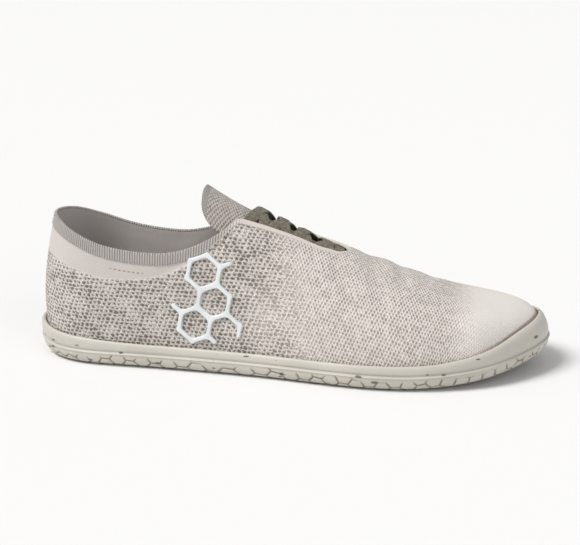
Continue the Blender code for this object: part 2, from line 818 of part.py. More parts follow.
def net_plan():
    """Three hexagons in a zigzag column, with the open lines that leave them."""
    net = Net(NET_LINE)
    lean = np.radians(-NET_LEAN)
    turn = np.array([[np.cos(lean), -np.sin(lean)], [np.sin(lean), np.cos(lean)]])
    start = np.array([float(x_at(NET_PLACE)), NET_HEIGHT])

    def corner(column, row, angle):
        middle = np.array([(column + 0.5 * (row % 2)) * NET_PITCH, row * NET_PITCH * np.sqrt(3) / 2])
        radius = NET_PITCH / np.sqrt(3)
        spot = middle + radius * np.array([np.cos(np.radians(angle)), np.sin(np.radians(angle))])
        return start + turn @ spot

    for column, row in ((0, 0), (0, 1), (0, 2)):
        for angle in range(30, 390, 60):
            net.line(corner(column, row, angle), corner(column, row, angle + 60))
    # Columns: column, row, angle where the line starts, angle where it heads, share drawn
    for column, row, first, second, part in (
        (1, 0, 90, 30, 1.0),
        (1, 0, 30, -30, 0.55),
        (1, 0, 210, 270, 0.50),
        (-1, 0, 30, 90, 0.62),
        (1, 2, 150, 90, 0.55),
    ):
        a, b = corner(column, row, first), corner(column, row, second)
        net.line(a, a + (b - a) * part)
    return net


def make_net(name, side, look):
    points, faces = net_plan().sheet(2)
    station = station_of(share_of(points[:, 0]))
    sides = np.full(len(points), float(side))
    turn = turns_at(station, sides, points[:, 1:])
    lower = skin(station, sides, turn, NET_GAP)[:, 0]
    upper = skin(station, sides, turn, NET_GAP + NET_THICKNESS)[:, 0]
    if side > 0:
        faces = [face[::-1] for face in faces]
    thick_sheet(name, faces, lower, upper, look)


clear_scene()
make_sole()
make_insole()
make_upper()
make_tongue()
make_laces()
white = material("net_film", (0.74, 0.76, 0.77), 0.45)
make_net("hex_overlay_lateral", -1, white)
make_net("hex_overlay_medial", 1, white)
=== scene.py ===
import math

import bpy
import bmesh
import numpy as np
from mathutils import Matrix, Vector


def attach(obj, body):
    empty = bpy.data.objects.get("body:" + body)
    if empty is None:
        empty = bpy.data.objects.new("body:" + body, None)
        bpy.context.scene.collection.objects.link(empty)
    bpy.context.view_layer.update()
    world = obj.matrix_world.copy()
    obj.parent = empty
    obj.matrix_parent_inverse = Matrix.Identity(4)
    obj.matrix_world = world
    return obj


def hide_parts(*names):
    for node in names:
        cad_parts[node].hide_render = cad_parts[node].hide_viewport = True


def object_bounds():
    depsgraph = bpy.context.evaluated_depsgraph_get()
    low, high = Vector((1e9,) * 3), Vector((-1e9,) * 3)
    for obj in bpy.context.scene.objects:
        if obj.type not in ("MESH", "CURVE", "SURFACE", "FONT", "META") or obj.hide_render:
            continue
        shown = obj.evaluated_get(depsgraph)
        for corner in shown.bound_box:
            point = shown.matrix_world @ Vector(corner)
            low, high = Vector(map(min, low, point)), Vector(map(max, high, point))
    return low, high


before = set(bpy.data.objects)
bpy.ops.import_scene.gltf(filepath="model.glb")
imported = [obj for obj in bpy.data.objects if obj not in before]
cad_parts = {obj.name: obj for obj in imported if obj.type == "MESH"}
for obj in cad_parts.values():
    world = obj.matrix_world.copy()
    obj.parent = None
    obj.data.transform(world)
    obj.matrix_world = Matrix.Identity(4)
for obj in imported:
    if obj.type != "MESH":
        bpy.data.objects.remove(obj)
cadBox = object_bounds()
tiny = 1e-6

# The last that the whole shoe is built on, in metres: the same sizes as the solids have.
last = {
    "soleLength": 0.284, "heelWidth": 0.073, "waistWidth": 0.073, "ballWidth": 0.106, "toeWidth": 0.092,
    "toeSpring": 0.009, "heelSpring": 0.0015, "ankleHeight": 0.117, "instepHeight": 0.090,
    "toeBoxHeight": 0.0455, "heelCollar": 0.079, "sideCollar": 0.063, "throatHalf": 0.017,
    "throatEnd": 0.615, "cornerRound": 0.045, "heelBulge": 0.035, "floorHeight": 0.0056,
    "rimWall": 0.0027, "gap": 0.0004, "rimWaist": 0.0136, "rimHeel": 0.0172, "rimToe": 0.0205,
    "toeSpringStart": 0.72, "heelSpringEnd": 0.07, "bulgeEnd": 0.32,
}
shoeLength = last["soleLength"]
upperInset = last["rimWall"] + last["gap"]

# Outline from above: share of the length, width that the row follows, share of it (+ is the inner side)
outlineRows = (
    (0.000, "heelWidth", 0.00), (0.020, "heelWidth", -0.24), (0.085, "heelWidth", -0.445),
    (0.190, "heelWidth", -0.50), (0.345, "waistWidth", -0.535), (0.480, "waistWidth", -0.59),
    (0.600, "ballWidth", -0.462), (0.695, "ballWidth", -0.485), (0.790, "ballWidth", -0.450),
    (0.885, "toeWidth", -0.395), (0.955, "toeWidth", -0.185), (1.000, "toeWidth", 0.12),
    (0.980, "toeWidth", 0.345), (0.930, "toeWidth", 0.480), (0.840, "ballWidth", 0.490),
    (0.730, "ballWidth", 0.515), (0.600, "ballWidth", 0.440), (0.480, "waistWidth", 0.490),
    (0.360, "waistWidth", 0.430), (0.220, "heelWidth", 0.465), (0.100, "heelWidth", 0.455),
    (0.025, "heelWidth", 0.27),
)
# Ridge: share of the length, share of the ball width to the inner side, height, squareness of the section
ridgeRows = (
    (0.150, 0.000, last["ankleHeight"], 2.60),
    (0.220, 0.000, 0.985 * last["ankleHeight"], 2.55),
    (0.300, 0.010, 0.915 * last["ankleHeight"], 2.45),
    (0.400, 0.030, last["instepHeight"], 2.30),
    (0.500, 0.045, 0.845 * last["instepHeight"], 2.20),
    (0.600, 0.045, 0.700 * last["instepHeight"], 2.20),
    (0.690, 0.035, 1.175 * last["toeBoxHeight"], 2.30),
    (0.770, 0.025, last["toeBoxHeight"], 2.45),
)
# Collar: share of the length, height of its edge
collarRows = (
    (0.000, last["heelCollar"]), (0.030, 0.975 * last["heelCollar"]), (0.090, 0.905 * last["heelCollar"]),
    (0.160, 1.040 * last["sideCollar"]), (0.230, last["sideCollar"]), (0.290, 1.010 * last["sideCollar"]),
    (0.340, 1.080 * last["sideCollar"]), (0.390, 1.210 * last["sideCollar"]),
    (0.440, 1.450 * last["sideCollar"]),
)
# Throat: share of the length, share of its half width
throatRows = (
    (0.380, 1.25), (0.460, 1.02), (0.520, 0.88), (0.580, 0.72), (0.606, 0.42), (last["throatEnd"], 0.0),
)
# Rim of the cup: share of the length, height above the tread
rimRows = (
    (0.000, last["rimHeel"]), (0.080, 0.930 * last["rimHeel"]), (0.200, 1.030 * last["rimWaist"]),
    (0.350, last["rimWaist"]), (0.700, last["rimWaist"]), (0.820, 1.050 * last["rimWaist"]),
    (0.900, 0.800 * last["rimToe"]), (0.960, 0.955 * last["rimToe"]), (1.000, last["rimToe"]),
)
heelCentre = ridgeRows[0][0]
toeCentre = ridgeRows[-1][0]


def curveAt(rows, column, share):
    # cubic through the rows of a table, with each row's slope taken from its neighbours
    at = np.array([row[0] for row in rows])
    value = np.array([row[column] for row in rows])
    slope = np.gradient(value, at)
    share = np.clip(np.asarray(share, dtype=float), at[0], at[-1])
    left = np.clip(np.searchsorted(at, share, side="right") - 1, 0, len(at) - 2)
    span = at[left + 1] - at[left]
    t = (share - at[left]) / span
    start = value[left] * (1 + 2 * t) * (1 - t) ** 2 + slope[left] * span * t * (1 - t) ** 2
    return start + value[left + 1] * (3 - 2 * t) * t ** 2 - slope[left + 1] * span * (1 - t) * t ** 2


def smoothStep(low, high, value):
    t = np.clip((np.asarray(value, dtype=float) - low) / (high - low), 0, 1)
    return t * t * (3 - 2 * t)


def together(*parts):
    # arrays of one shape, or that spread to one, as the parts of points
    return np.stack(np.broadcast_arrays(*parts), axis=-1)


def sizeOf(vectors):
    return np.linalg.norm(vectors, axis=-1, keepdims=True)


def alongRing(points):
    # directions along a closed line and square to it, to the outside of one that turns left
    along = np.roll(points, -1, axis=0) - np.roll(points, 1, axis=0)
    along /= sizeOf(along)
    return along, together(along[:, 1], -along[:, 0])


def bell(value, middle, width):
    return np.exp(-((value - middle) / width) ** 2)


def closedCurve(points, steps=60):
    # closed cubic spline: the slopes solve one ring of equations, so its bend runs on through each point
    ahead = np.roll(points, -1, axis=0)
    span = np.linalg.norm(ahead - points, axis=1)
    before = np.roll(span, 1)
    count = len(points)
    index = np.arange(count)
    system = np.zeros((count, count))
    system[index, index] = 2 / before + 2 / span
    system[index, (index - 1) % count] = 1 / before
    system[index, (index + 1) % count] = 1 / span
    rise = (ahead - points) / span[:, None] ** 2
    slope = np.linalg.solve(system, 3 * (rise + np.roll(rise, 1, axis=0)))
    t = (np.arange(steps) / steps)[None, :, None]
    a, b = slope[:, None], np.roll(slope, -1, axis=0)[:, None]
    curve = points[:, None] * (1 + 2 * t) * (1 - t) ** 2 + ahead[:, None] * (3 - 2 * t) * t ** 2
    return (curve + span[:, None, None] * t * (1 - t) * (a * (1 - t) - b * t)).reshape(-1, 2)


def shareOf(x):
    return x / shoeLength + 0.5


def xAt(share):
    return (np.asarray(share) - 0.5) * shoeLength


def outlineRing():
    rows = np.array([(share * shoeLength, part * last[name]) for share, name, part in outlineRows])
    ring = closedCurve(rows)
    low, high = ring.min(axis=0), ring.max(axis=0)
    ring[:, 0] = (ring[:, 0] - low[0]) * shoeLength / (high[0] - low[0]) - shoeLength / 2
    middle = (low[1] + high[1]) / 2
    ring[:, 1] -= middle
    return ring, *alongRing(ring), middle


ringPoints, ringAlong, ringOut, middleShift = outlineRing()


def onRing(spot):
    # nearest place on the outline: its outward normal, the foot of the spot on it and the distance outside it
    near = np.argmin(((spot[:, None] - ringPoints[None]) ** 2).sum(axis=2), axis=1)
    offset = spot - ringPoints[near]
    foot = ringPoints[near] + ringAlong[near] * (offset * ringAlong[near]).sum(axis=1)[:, None]
    return ringOut[near], foot, (offset * ringOut[near]).sum(axis=1)


def groundAt(x):
    # flat, curling up by a square law at the toe and a little at the heel
    toe = np.clip((shareOf(x) - last["toeSpringStart"]) / (1 - last["toeSpringStart"]), 0, 1) ** 2
    heel = np.clip(1 - shareOf(x) / last["heelSpringEnd"], 0, 1) ** 2
    return last["toeSpring"] * toe + last["heelSpring"] * heel


def stationOf(share):
    return 1 + (np.asarray(share) - heelCentre) / (toeCentre - heelCentre)


def spokeAt(station, side):
    # stations 0 to 1 fan about the heel, 1 to 2 run along the shoe, 2 to 3 fan about the toe
    share = heelCentre + np.clip(station - 1, 0, 1) * (toeCentre - heelCentre)
    centre = together(xAt(share), curveAt(ridgeRows, 1, share) * last["ballWidth"] - middleShift)
    turn = (np.minimum(station, 1) - 1 + np.maximum(station, 2) - 2) * np.pi / 2
    return centre, together(np.sin(turn), side * np.cos(turn))


def edgeAt(station, side, inset):
    # where each spoke crosses the outline moved in by the inset
    centre, way = spokeAt(station, side)
    ring = ringPoints - ringOut * inset
    offset = ring[None] - centre[:, None]
    across = way[:, :1] * offset[:, :, 1] - way[:, 1:] * offset[:, :, 0]
    ahead = way[:, :1] * offset[:, :, 0] + way[:, 1:] * offset[:, :, 1] > 0
    following = np.roll(across, -1, axis=1)
    hit = np.argmax((across * following <= 0) & ahead, axis=1)
    pick = np.arange(len(hit))
    part = across[pick, hit] / (across[pick, hit] - following[pick, hit])
    return ring[hit] + (ring[(hit + 1) % len(ring)] - ring[hit]) * part[:, None]


def riseAt(station, side):
    centre, _ = spokeAt(station, side)
    foot = edgeAt(station, side, upperInset)
    low = last["floorHeight"] + last["gap"] + groundAt(foot[:, 0])
    share = shareOf(centre[:, 0])
    heel = last["heelBulge"] * np.clip(1 - shareOf(foot[:, 0]) / last["bulgeEnd"], 0, 1)
    return centre, foot, low, curveAt(ridgeRows, 2, share), curveAt(ridgeRows, 3, share), heel


def reachAt(height, square, heel):
    # oval (1 - h^n)^(1/n), a little fuller at the back of the heel
    return (1 - height ** square) ** (1 / square) * (1 + heel * np.sin(np.pi * np.clip(height / 0.5, 0, 2)))


def ridgeSlope(x):
    step = 0.002
    share = shareOf(x)
    rise = curveAt(ridgeRows, 2, share + step) - curveAt(ridgeRows, 2, share - step)
    run = np.clip(share + step, heelCentre, toeCentre) - np.clip(share - step, heelCentre, toeCentre)
    return rise / run / shoeLength


def skinBare(station, turn, base):
    # each spoke's section: out by reach, up by the oval's height, tilted in front of the toe's centre
    centre, foot, low, top, square, heel = base
    low, top, square, heel = low[:, None], top[:, None], square[:, None], heel[:, None]
    height = np.sin(turn) ** (2 / square)
    out = reachAt(height, square, heel)
    spot = centre[:, None] + (foot - centre)[:, None] * out[..., None]
    lean = ridgeSlope(centre[:, 0])[:, None] * (spot[..., 0] - centre[:, :1]) * (1 - out ** 2) ** 2
    z = low + (top - low) * height + np.where(station[:, None] > 2, lean, 0)
    return np.concatenate([spot, z[..., None]], axis=-1)


def skin(station, side, turn, lift=0.0):
    # the last's surface moved along its own normal by the lift
    step = 0.01
    base = riseAt(station, side)
    spot = skinBare(station, turn, base)
    held = np.clip(turn, 2 * step, np.pi / 2 - 2 * step)
    ahead = skinBare(station + step, held, riseAt(station + step, side))
    behind = skinBare(station - step, held, riseAt(station - step, side))
    up = skinBare(station, held + step, base) - skinBare(station, held - step, base)
    normal = np.cross(ahead - behind, up) * (-np.broadcast_to(side, station.shape))[:, None, None]
    level = together(-ridgeSlope(base[0][:, 0])[:, None], 0.0, 1.0)
    normal = np.where((turn > np.pi / 2 - tiny)[..., None], level, normal)
    return spot + normal / sizeOf(normal) * np.broadcast_to(lift, turn.shape)[..., None]


def arcTable(station, side, samples=110):
    fan = np.linspace(0, 1, samples) ** 1.3 * np.pi / 2
    line = skinBare(station, np.repeat(fan[None], len(station), axis=0), riseAt(station, side))
    step = np.linalg.norm(np.diff(line, axis=1), axis=2)
    return fan, np.concatenate([np.zeros((len(station), 1)), np.cumsum(step, axis=1)], axis=1)


def turnsAt(station, side, distance, fromRidge=False):
    fan, run = arcTable(station, side)
    if fromRidge:
        distance = run[:, -1:] - distance
    return np.array([np.interp(want, length, fan) for want, length in zip(distance, run)])


def edgeTurn(station, side):
    # the opening: the collar by its height and the throat by its width, with a rounded corner between
    centre, foot, low, top, square, _ = riseAt(station, side)
    share = np.where(station < 1, shareOf(foot[:, 0]), shareOf(centre[:, 0]))
    wanted = np.clip((curveAt(collarRows, 1, share) - low) / (top - low), 0, 1)
    collar = np.where(share > collarRows[-1][0], np.pi / 2, np.arcsin(wanted ** (square / 2)))
    half = curveAt(throatRows, 1, share) * last["throatHalf"] / sizeOf(foot - centre)[:, 0]
    throat = np.arccos(np.clip(half, 0, 1) ** (square / 2))
    r = last["cornerRound"]
    turn = -r * np.log(np.exp(-collar / r) + np.exp(-throat / r))
    return np.where(share > last["throatEnd"] - tiny, np.pi / 2, turn)


def ringStations(step):
    # spokes about one step apart round the shoe, with one exactly at the throat's end
    heelCount = int(0.036 * np.pi / 2 / step)
    toeCount = int(0.050 * np.pi / 2 / step)
    end = float(stationOf(last["throatEnd"]))
    span = (toeCentre - heelCentre) * shoeLength
    quarter = int((end - 1) * span / step)
    vamp = int((2 - end) * span / step)
    half = np.concatenate([
        np.arange(heelCount) / heelCount, np.linspace(1, end, quarter, endpoint=False),
        np.linspace(end, 2, vamp, endpoint=False), 2 + np.arange(toeCount + 1) / toeCount])
    station = np.concatenate([half, half[-2:0:-1]])
    return station, np.where(np.arange(len(station)) < len(half), -1.0, 1.0)


def sideRow(station, side, inset, height, base=None):
    # ring at an inset from the outline, leaning with the upper above the floor of the cup
    centre, _, low, top, square, heel = base or riseAt(station, side)
    spot = edgeAt(station, side, inset)
    z = groundAt(spot[:, 0]) + height
    out = reachAt(np.clip((z - low) / (top - low), 0, 1), square, heel)
    return np.column_stack([centre + (spot - centre) * out[:, None], z])


def middleRow(station, side, height):
    centre, _ = spokeAt(station, side)
    return np.column_stack([centre, groundAt(centre[:, 0]) + height])


def overRidge(share, across, lift):
    # points at a share of the length and a distance from the ridge, + to the inner side
    station = stationOf(share)
    side = np.where(across < 0, -1.0, 1.0)
    turn = turnsAt(station, side, np.abs(across)[:, None], fromRidge=True)
    turn[np.abs(across) < tiny] = np.pi / 2
    return skin(station, side, turn, np.broadcast_to(lift, across.shape)[:, None])[:, 0]


def link(obj, material, slot, *nodes):
    obj.data.materials.append(material)
    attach(obj, "root")
    if nodes:
        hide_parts(*nodes)
    return obj


def makeMesh(name, points, faces, uvs=None, marks=None, merge=0.0):
    # points and faces as whole arrays; uvs and marks hold one value for each point; unused points are dropped
    mesh = bpy.data.meshes.new(name)
    points, faces = points.reshape(-1, 3), faces.reshape(-1, 4)
    used, index = np.unique(faces.ravel(), return_inverse=True)
    mesh.vertices.add(len(used))
    mesh.vertices.foreach_set("co", points[used].astype(np.float32).ravel())
    mesh.loops.add(faces.size)
    mesh.loops.foreach_set("vertex_index", index.astype(np.int32).ravel())
    mesh.polygons.add(len(faces))
    mesh.polygons.foreach_set("loop_start", np.arange(0, faces.size, 4, dtype=np.int32))
    mesh.update(calc_edges=True)
    for title, value in (uvs or {}).items():
        layer = mesh.uv_layers.new(name=title)
        layer.data.foreach_set("uv", value.reshape(-1, 2)[faces.ravel()].astype(np.float32).ravel())
    for title, value in (marks or {}).items():
        layer = mesh.attributes.new(title, "FLOAT", "POINT")
        layer.data.foreach_set("value", value.ravel()[used].astype(np.float32))
    mesh.validate()
    if merge:
        work = bmesh.new()
        work.from_mesh(mesh)
        bmesh.ops.remove_doubles(work, verts=work.verts, dist=merge)
        bmesh.ops.dissolve_degenerate(work, dist=merge, edges=work.edges)
        bmesh.ops.recalc_face_normals(work, faces=work.faces)
        work.to_mesh(mesh)
        work.free()
    mesh.shade_smooth()
    obj = bpy.data.objects.new(name, mesh)
    bpy.context.scene.collection.objects.link(obj)
    return obj


def gridFaces(rows, columns, wrapRows=False, wrapColumns=False):
    # quads of a grid whose points run along the columns first
    i = np.arange(rows if wrapRows else rows - 1)[:, None]
    j = np.arange(columns if wrapColumns else columns - 1)[None]
    nextRow, nextColumn = (i + 1) % rows * columns, (j + 1) % columns
    return np.stack([i * columns + j, i * columns + nextColumn, nextRow + nextColumn, nextRow + j], axis=-1)


def barFaces(rows, columns):
    # a closed bar: its wrapped grid, and a cap over each end that joins its two long sides
    k = np.arange(columns // 2 - 1)
    cap = np.stack([k, k + 1, columns - 2 - k, columns - 1 - k], axis=1)
    faces = gridFaces(rows, columns, wrapColumns=True).reshape(-1, 4)
    return np.concatenate([faces, cap, cap[:, ::-1] + (rows - 1) * columns])


# A number or colour in a shader: its sums make Math nodes in the tree that its socket is in
class Value:
    def __init__(self, socket):
        self.socket, self.tree = socket, socket.id_data

    def __add__(self, other):
        return calc("ADD", self, other)

    def __sub__(self, other):
        return calc("SUBTRACT", self, other)

    def __rsub__(self, other):
        return calc("SUBTRACT", other, self)

    def __mul__(self, other):
        return calc("MULTIPLY", self, other)

    def __truediv__(self, other):
        return calc("DIVIDE", self, other)

    def __rtruediv__(self, other):
        return calc("DIVIDE", other, self)


def feed(socket, value):
    # link a shader value into the socket, or set the socket's own value
    if isinstance(value, Value):
        value.tree.links.new(value.socket, socket)
    else:
        socket.default_value = (*value, 1.0) if socket.type == "RGBA" else value


def node(tree, kind, values=None, out=0, **settings):
    # one call makes a node, feeds its inputs and gives one of its outputs, or all of them with out=None
    made = tree.nodes.new("ShaderNode" + kind)
    for key, value in settings.items():
        setattr(made, key, value)
    for key, value in (values or {}).items():
        feed(made.inputs[key], value)
    return [Value(socket) for socket in made.outputs] if out is None else Value(made.outputs[out])


def calc(operation, *values):
    tree = next(value.tree for value in values if isinstance(value, Value))
    return node(tree, "Math", dict(enumerate(values)), operation=operation)


def ramp(value, low, high, start=0.0, end=1.0):
    return node(value.tree, "MapRange", {"Value": value, "From Min": low, "From Max": high, "To Min": start,
                                         "To Max": end}, interpolation_type="SMOOTHSTEP")


def blend(factor, first, second):
    return node(factor.tree, "Mix", {0: factor, 6: first, 7: second}, out=2, data_type="RGBA")


def noise(vector, scale, detail=2.0, out="Fac"):
    return node(vector.tree, "TexNoise", {"Vector": vector, "Scale": scale, "Detail": detail}, out=out)


def split(vector):
    return node(vector.tree, "SeparateXYZ", {0: vector}, out=None)


def chanceIn(u, v):
    # one random number for each cell of a grid
    cell = node(u.tree, "CombineXYZ", {0: calc("FLOOR", u), 1: calc("FLOOR", v)})
    return node(u.tree, "TexWhiteNoise", {"Vector": cell}, noise_dimensions="2D")


def mark(tree, name):
    return node(tree, "Attribute", out="Fac", attribute_name=name)


def uvOf(tree, name):
    return node(tree, "UVMap", uv_map=name)


def objectPlace(tree):
    return node(tree, "TexCoord", out="Object")


def newGroup(name, inputs, outputs):
    # inputs are numbers with their usual values, or vectors where the value is None
    tree = bpy.data.node_groups.new(name, "ShaderNodeTree")
    for title, value in inputs.items():
        kind = "NodeSocketVector" if value is None else "NodeSocketFloat"
        socket = tree.interface.new_socket(title, in_out="INPUT", socket_type=kind)
        if value is not None:
            socket.default_value = value
    for title in outputs:
        tree.interface.new_socket(title, in_out="OUTPUT", socket_type="NodeSocketFloat")
    given = {socket.name: Value(socket) for socket in tree.nodes.new("NodeGroupInput").outputs}
    return tree, given, tree.nodes.new("NodeGroupOutput").inputs


def placeGroup(tree, group, values):
    return node(tree, "Group", values, out=None, node_tree=group)


def newMaterial(name, colour, roughness, values=None):
    made = bpy.data.materials.new(name)
    made.use_nodes = True
    made.diffuse_color = (*colour, 1.0)
    shader = made.node_tree.nodes["Principled BSDF"].inputs
    for key, value in {"Base Color": colour, "Roughness": roughness, **(values or {})}.items():
        feed(shader[key], value)
    return made, made.node_tree, shader


def bumpTo(shader, height, distance):
    feed(shader["Normal"], node(height.tree, "Bump", {"Height": height, "Distance": distance}))


# Open knit: staggered holes in cells of one pitch, each a little different, with the yarn raised round them
def openKnitGroup():
    tree, given, result = newGroup("openKnit", {
        "Vector": None, "Pitch": 0.0023, "Aspect": 0.9, "Hole": 0.27, "Squash": 0.85, "Jitter": 0.25, "Ragged": 0.1,
        "Slant": 0.0, "Patchy": 0.0}, ("Mask", "Height", "Shade"))
    along, across, _ = split(given["Vector"])
    u = (along + across * given["Slant"]) / given["Pitch"]
    v = across / (given["Pitch"] * given["Aspect"])
    plane = node(tree, "CombineXYZ", {0: u, 1: v})
    drift = split(noise(plane, 0.6, out="Color"))
    sway = given["Jitter"] * 2.0
    u, v = (drift[0] - 0.5) * sway + u, (drift[1] - 0.5) * sway + v
    u = calc("MODULO", calc("ABSOLUTE", calc("FLOOR", v)), 2.0) * 0.5 + u
    chance = chanceIn(u, v)
    x, y = calc("FRACT", u) - 0.5, calc("FRACT", v) - 0.5
    squashed = y * given["Squash"]
    rough, fuzz = noise(plane, 2.2, 1.0), noise(plane, 14.0, 3.0)
    away = (rough - 0.5) * given["Ragged"] * 4.0 + calc("SQRT", x * x + squashed * squashed)
    patch = ramp(noise(plane, 0.17), 0.56, 0.38) * given["Patchy"]
    past = away - given["Hole"] * (chance * 0.85 + 0.50) * (1.0 - patch)
    strand = calc("ABSOLUTE", calc("COSINE", (calc("ABSOLUTE", x) * 2.0 - y) * math.pi))
    height = ramp(past, -0.05, 0.26) * (strand * 0.42 + 0.58) + fuzz * 0.14
    feed(result["Mask"], ramp(past, 0.08, -0.05))
    feed(result["Height"], rough * 0.25 + height)
    # Shade: a random tone for each cell and noise, plus a painted highlight on the raised strands
    feed(result["Shade"], chance * 0.35 + rough * 0.25 + strand * 0.35)
    return tree


# Ribs: a soft wave of the given number
def ribGroup():
    tree, given, result = newGroup("ribs", {"Value": 0.0, "Pitch": 0.001}, ("Height",))
    feed(result["Height"], calc("SINE", given["Value"] / given["Pitch"] * (2 * math.pi)) * 0.5 + 0.5)
    return tree


# Flecks: a few small dark dashes, one in some of the cells
def fleckGroup():
    tree, given, result = newGroup("flecks", {
        "Vector": None, "Spacing": 0.008, "Size": 0.06, "Chance": 0.35}, ("Mask",))
    spread = node(tree, "VectorMath", {0: given["Vector"], 1: (1.0, 1.0, 2.6)}, operation="MULTIPLY")
    scaled = node(tree, "VectorMath", {0: spread, 3: 1.0 / given["Spacing"]}, operation="SCALE")
    away, colour = node(tree, "TexVoronoi", {"Vector": scaled, "Scale": 1.0, "Randomness": 1.0}, out=None)[:2]
    pick = split(colour)
    edge = noise(scaled, 8.0, 3.0) * 0.20 + away - given["Size"] * (pick[1] * 1.2 + 0.4)
    feed(result["Mask"], ramp(edge, 0.125, 0.080) * calc("LESS_THAN", pick[0], given["Chance"]))
    return tree


openKnit = openKnitGroup()
ribs = ribGroup()
flecks = fleckGroup()
print("shader groups ready")


knitLook = {
    "yarn": (0.765, 0.712, 0.672), "yarnToe": (0.875, 0.828, 0.792), "yarnShade": (0.610, 0.560, 0.515),
    # the hole colours are painted shade, for the shadowed inside of the shoe seen through the knit's holes
    "holeShadow": (0.088, 0.073, 0.056), "fineHoleShadow": (0.200, 0.168, 0.148), "collar": (0.560, 0.520, 0.500),
    "binding": (0.610, 0.558, 0.520), "seam": (0.300, 0.185, 0.140),
    "coarse": {"Pitch": 0.0027, "Aspect": 0.80, "Hole": 0.275, "Squash": 0.9, "Jitter": 0.42, "Ragged": 0.13,
               "Slant": 0.25, "Patchy": 0.34},
    "fine": {"Pitch": 0.00175, "Aspect": 1.20, "Hole": 0.175, "Squash": 0.62, "Jitter": 0.07, "Ragged": 0.03},
    "ribPitch": 0.0013, "hemPitch": 0.0014, "relief": 0.0011, "dashFromEdge": 0.0102, "dashPitch": 0.0026,
    "dashShare": 0.52, "dashHalf": 0.00034,
}


def knitMaterial(name, look):
    # each zone's pattern is weighed by the zone's mark on the mesh
    made, tree, shader = newMaterial(name, look["yarn"], 0.92, {
        "Sheen Weight": 0.25, "Sheen Roughness": 0.5, "Specular IOR Level": 0.25})
    sideMap, topMap = uvOf(tree, "sideMap"), uvOf(tree, "topMap")
    coarse, coarseHeight, coarseToneAndHighlight = placeGroup(tree, openKnit, {"Vector": sideMap, **look["coarse"]})
    fine, fineHeight, _ = placeGroup(tree, openKnit, {"Vector": topMap, **look["fine"]})
    along, up, _ = split(sideMap)
    toeRib, smoothRib, hemRib = [placeGroup(tree, ribs, {"Value": value, "Pitch": pitch})[0] for value, pitch in (
        (split(topMap)[1], look["ribPitch"]), (up * 0.8 + along, look["ribPitch"] * 0.8), (along, look["hemPitch"]))]
    zoneCoarse, zoneFine, zoneToe, zoneCollar, zoneHem, zoneBind = [
        mark(tree, "zone" + part) for part in ("Coarse", "Fine", "Toe", "Collar", "Hem", "Bind")]
    offRow = calc("ABSOLUTE", mark(tree, "fromEdge") - look["dashFromEdge"])
    dash = calc("LESS_THAN", calc("FRACT", along / look["dashPitch"]), look["dashShare"]) * calc(
        "LESS_THAN", offRow, look["dashHalf"]) * mark(tree, "dashRow")
    # the holes and the dash row are painted dark: painted shade seen through them
    holeShadow = calc("MAXIMUM", coarse * zoneCoarse, dash * 0.75)
    collar = blend(smoothRib * 0.22, look["collar"], look["yarnShade"])
    # the hem is darker in the valleys between its ribs: painted shade
    collar = blend((1.0 - hemRib) * zoneHem * 0.30, collar, look["holeShadow"])
    # the yarn's tone: random, plus the painted highlight on the coarse knit's raised strands
    tone = coarseToneAndHighlight * 0.6 + noise(objectPlace(tree), 55.0, 4.0) * 0.4
    yarn = blend(ramp(tone, 0.25, 0.75), look["yarnShade"], look["yarn"])
    # colours laid over one another: how far each shows, and the colour
    for shown, colour in (
            (zoneFine * 0.55, look["yarn"]), (fine * zoneFine * 0.85, look["fineHoleShadow"]), (zoneToe, look["yarnToe"]),
            (toeRib * zoneToe * 0.30, look["yarnShade"]), (zoneCollar, collar), (zoneBind, look["binding"]),
            (mark(tree, "toeSeam"), look["seam"]), (holeShadow * 0.9, look["holeShadow"])):
        yarn = blend(shown, yarn, colour)
    feed(shader["Base Color"], yarn)
    height = coarseHeight * zoneCoarse + fineHeight * zoneFine * 0.6 + toeRib * zoneToe * 0.55
    bumpTo(shader, height + smoothRib * zoneCollar * 0.15 + hemRib * zoneHem * 0.9, look["relief"])
    return made


upperShape = {
    "wall": 0.0020, "ringStep": 0.00112, "rows": 84, "edgeRows": 16, "edgeBand": 0.0085, "innerRows": 20,
    "hemWidth": 0.0052, "hemStep": 0.0006, "bindWidth": 0.0023, "bindStep": 0.0004, "ripple": 0.00022,
    "heelRadius": 0.034,
    # zones: shares of the length between which one gives way to the next
    "throatFrom": (0.375, 0.425), "fineFrom": (0.475, 0.585), "toeFrom": (0.80, 0.905), "seamFrom": (0.84, 0.94),
    "dashFrom": (0.17, 0.175), "dashTo": (0.235, 0.24),
    # smooth band under the collar: share of the length, its width
    "collarRows": ((0.0, 0.019), (0.10, 0.018), (0.20, 0.015), (0.28, 0.0105), (0.34, 0.0062), (0.38, 0.0030),
                   (0.43, 0.0)),
    # creases: share of the length, distance across from the ridge, lean in degrees, half length, width, depth
    "creases": (
        (0.668, -0.012, 14.0, 0.036, 0.0042, 0.0009),
        (0.716, -0.002, 5.0, 0.026, 0.0032, 0.0006),
        (0.622, -0.036, 27.0, 0.018, 0.0034, 0.0008),
        (0.636, 0.034, -22.0, 0.020, 0.0038, 0.0008),
        (0.770, 0.010, -3.0, 0.018, 0.0028, 0.0004),
        (0.455, -0.050, 38.0, 0.020, 0.0040, 0.0008),
        (0.300, -0.062, -32.0, 0.018, 0.0045, 0.0008),
        (0.290, 0.062, 30.0, 0.018, 0.0045, 0.0008),
        (0.180, -0.058, 12.0, 0.016, 0.0040, 0.0006),
    ),
}


def creaseLift(share, across, rows):
    # each crease: a trough exp(-(n/w)^2) along a line that fades at its ends, with a low ridge on each side
    x = share * shoeLength
    lift = np.zeros(share.shape)
    for at, offset, lean, half, width, depth in rows:
        angle = math.radians(lean)
        dx, dy = x - at * shoeLength, across - offset
        off = dx * math.cos(angle) + dy * math.sin(angle)
        along = -dx * math.sin(angle) + dy * math.cos(angle)
        fade = np.exp(-(along / half) ** 4)
        lift += depth * fade * (0.45 * bell(np.abs(off), 2.1 * width, width) - bell(off, 0, width))
    return lift


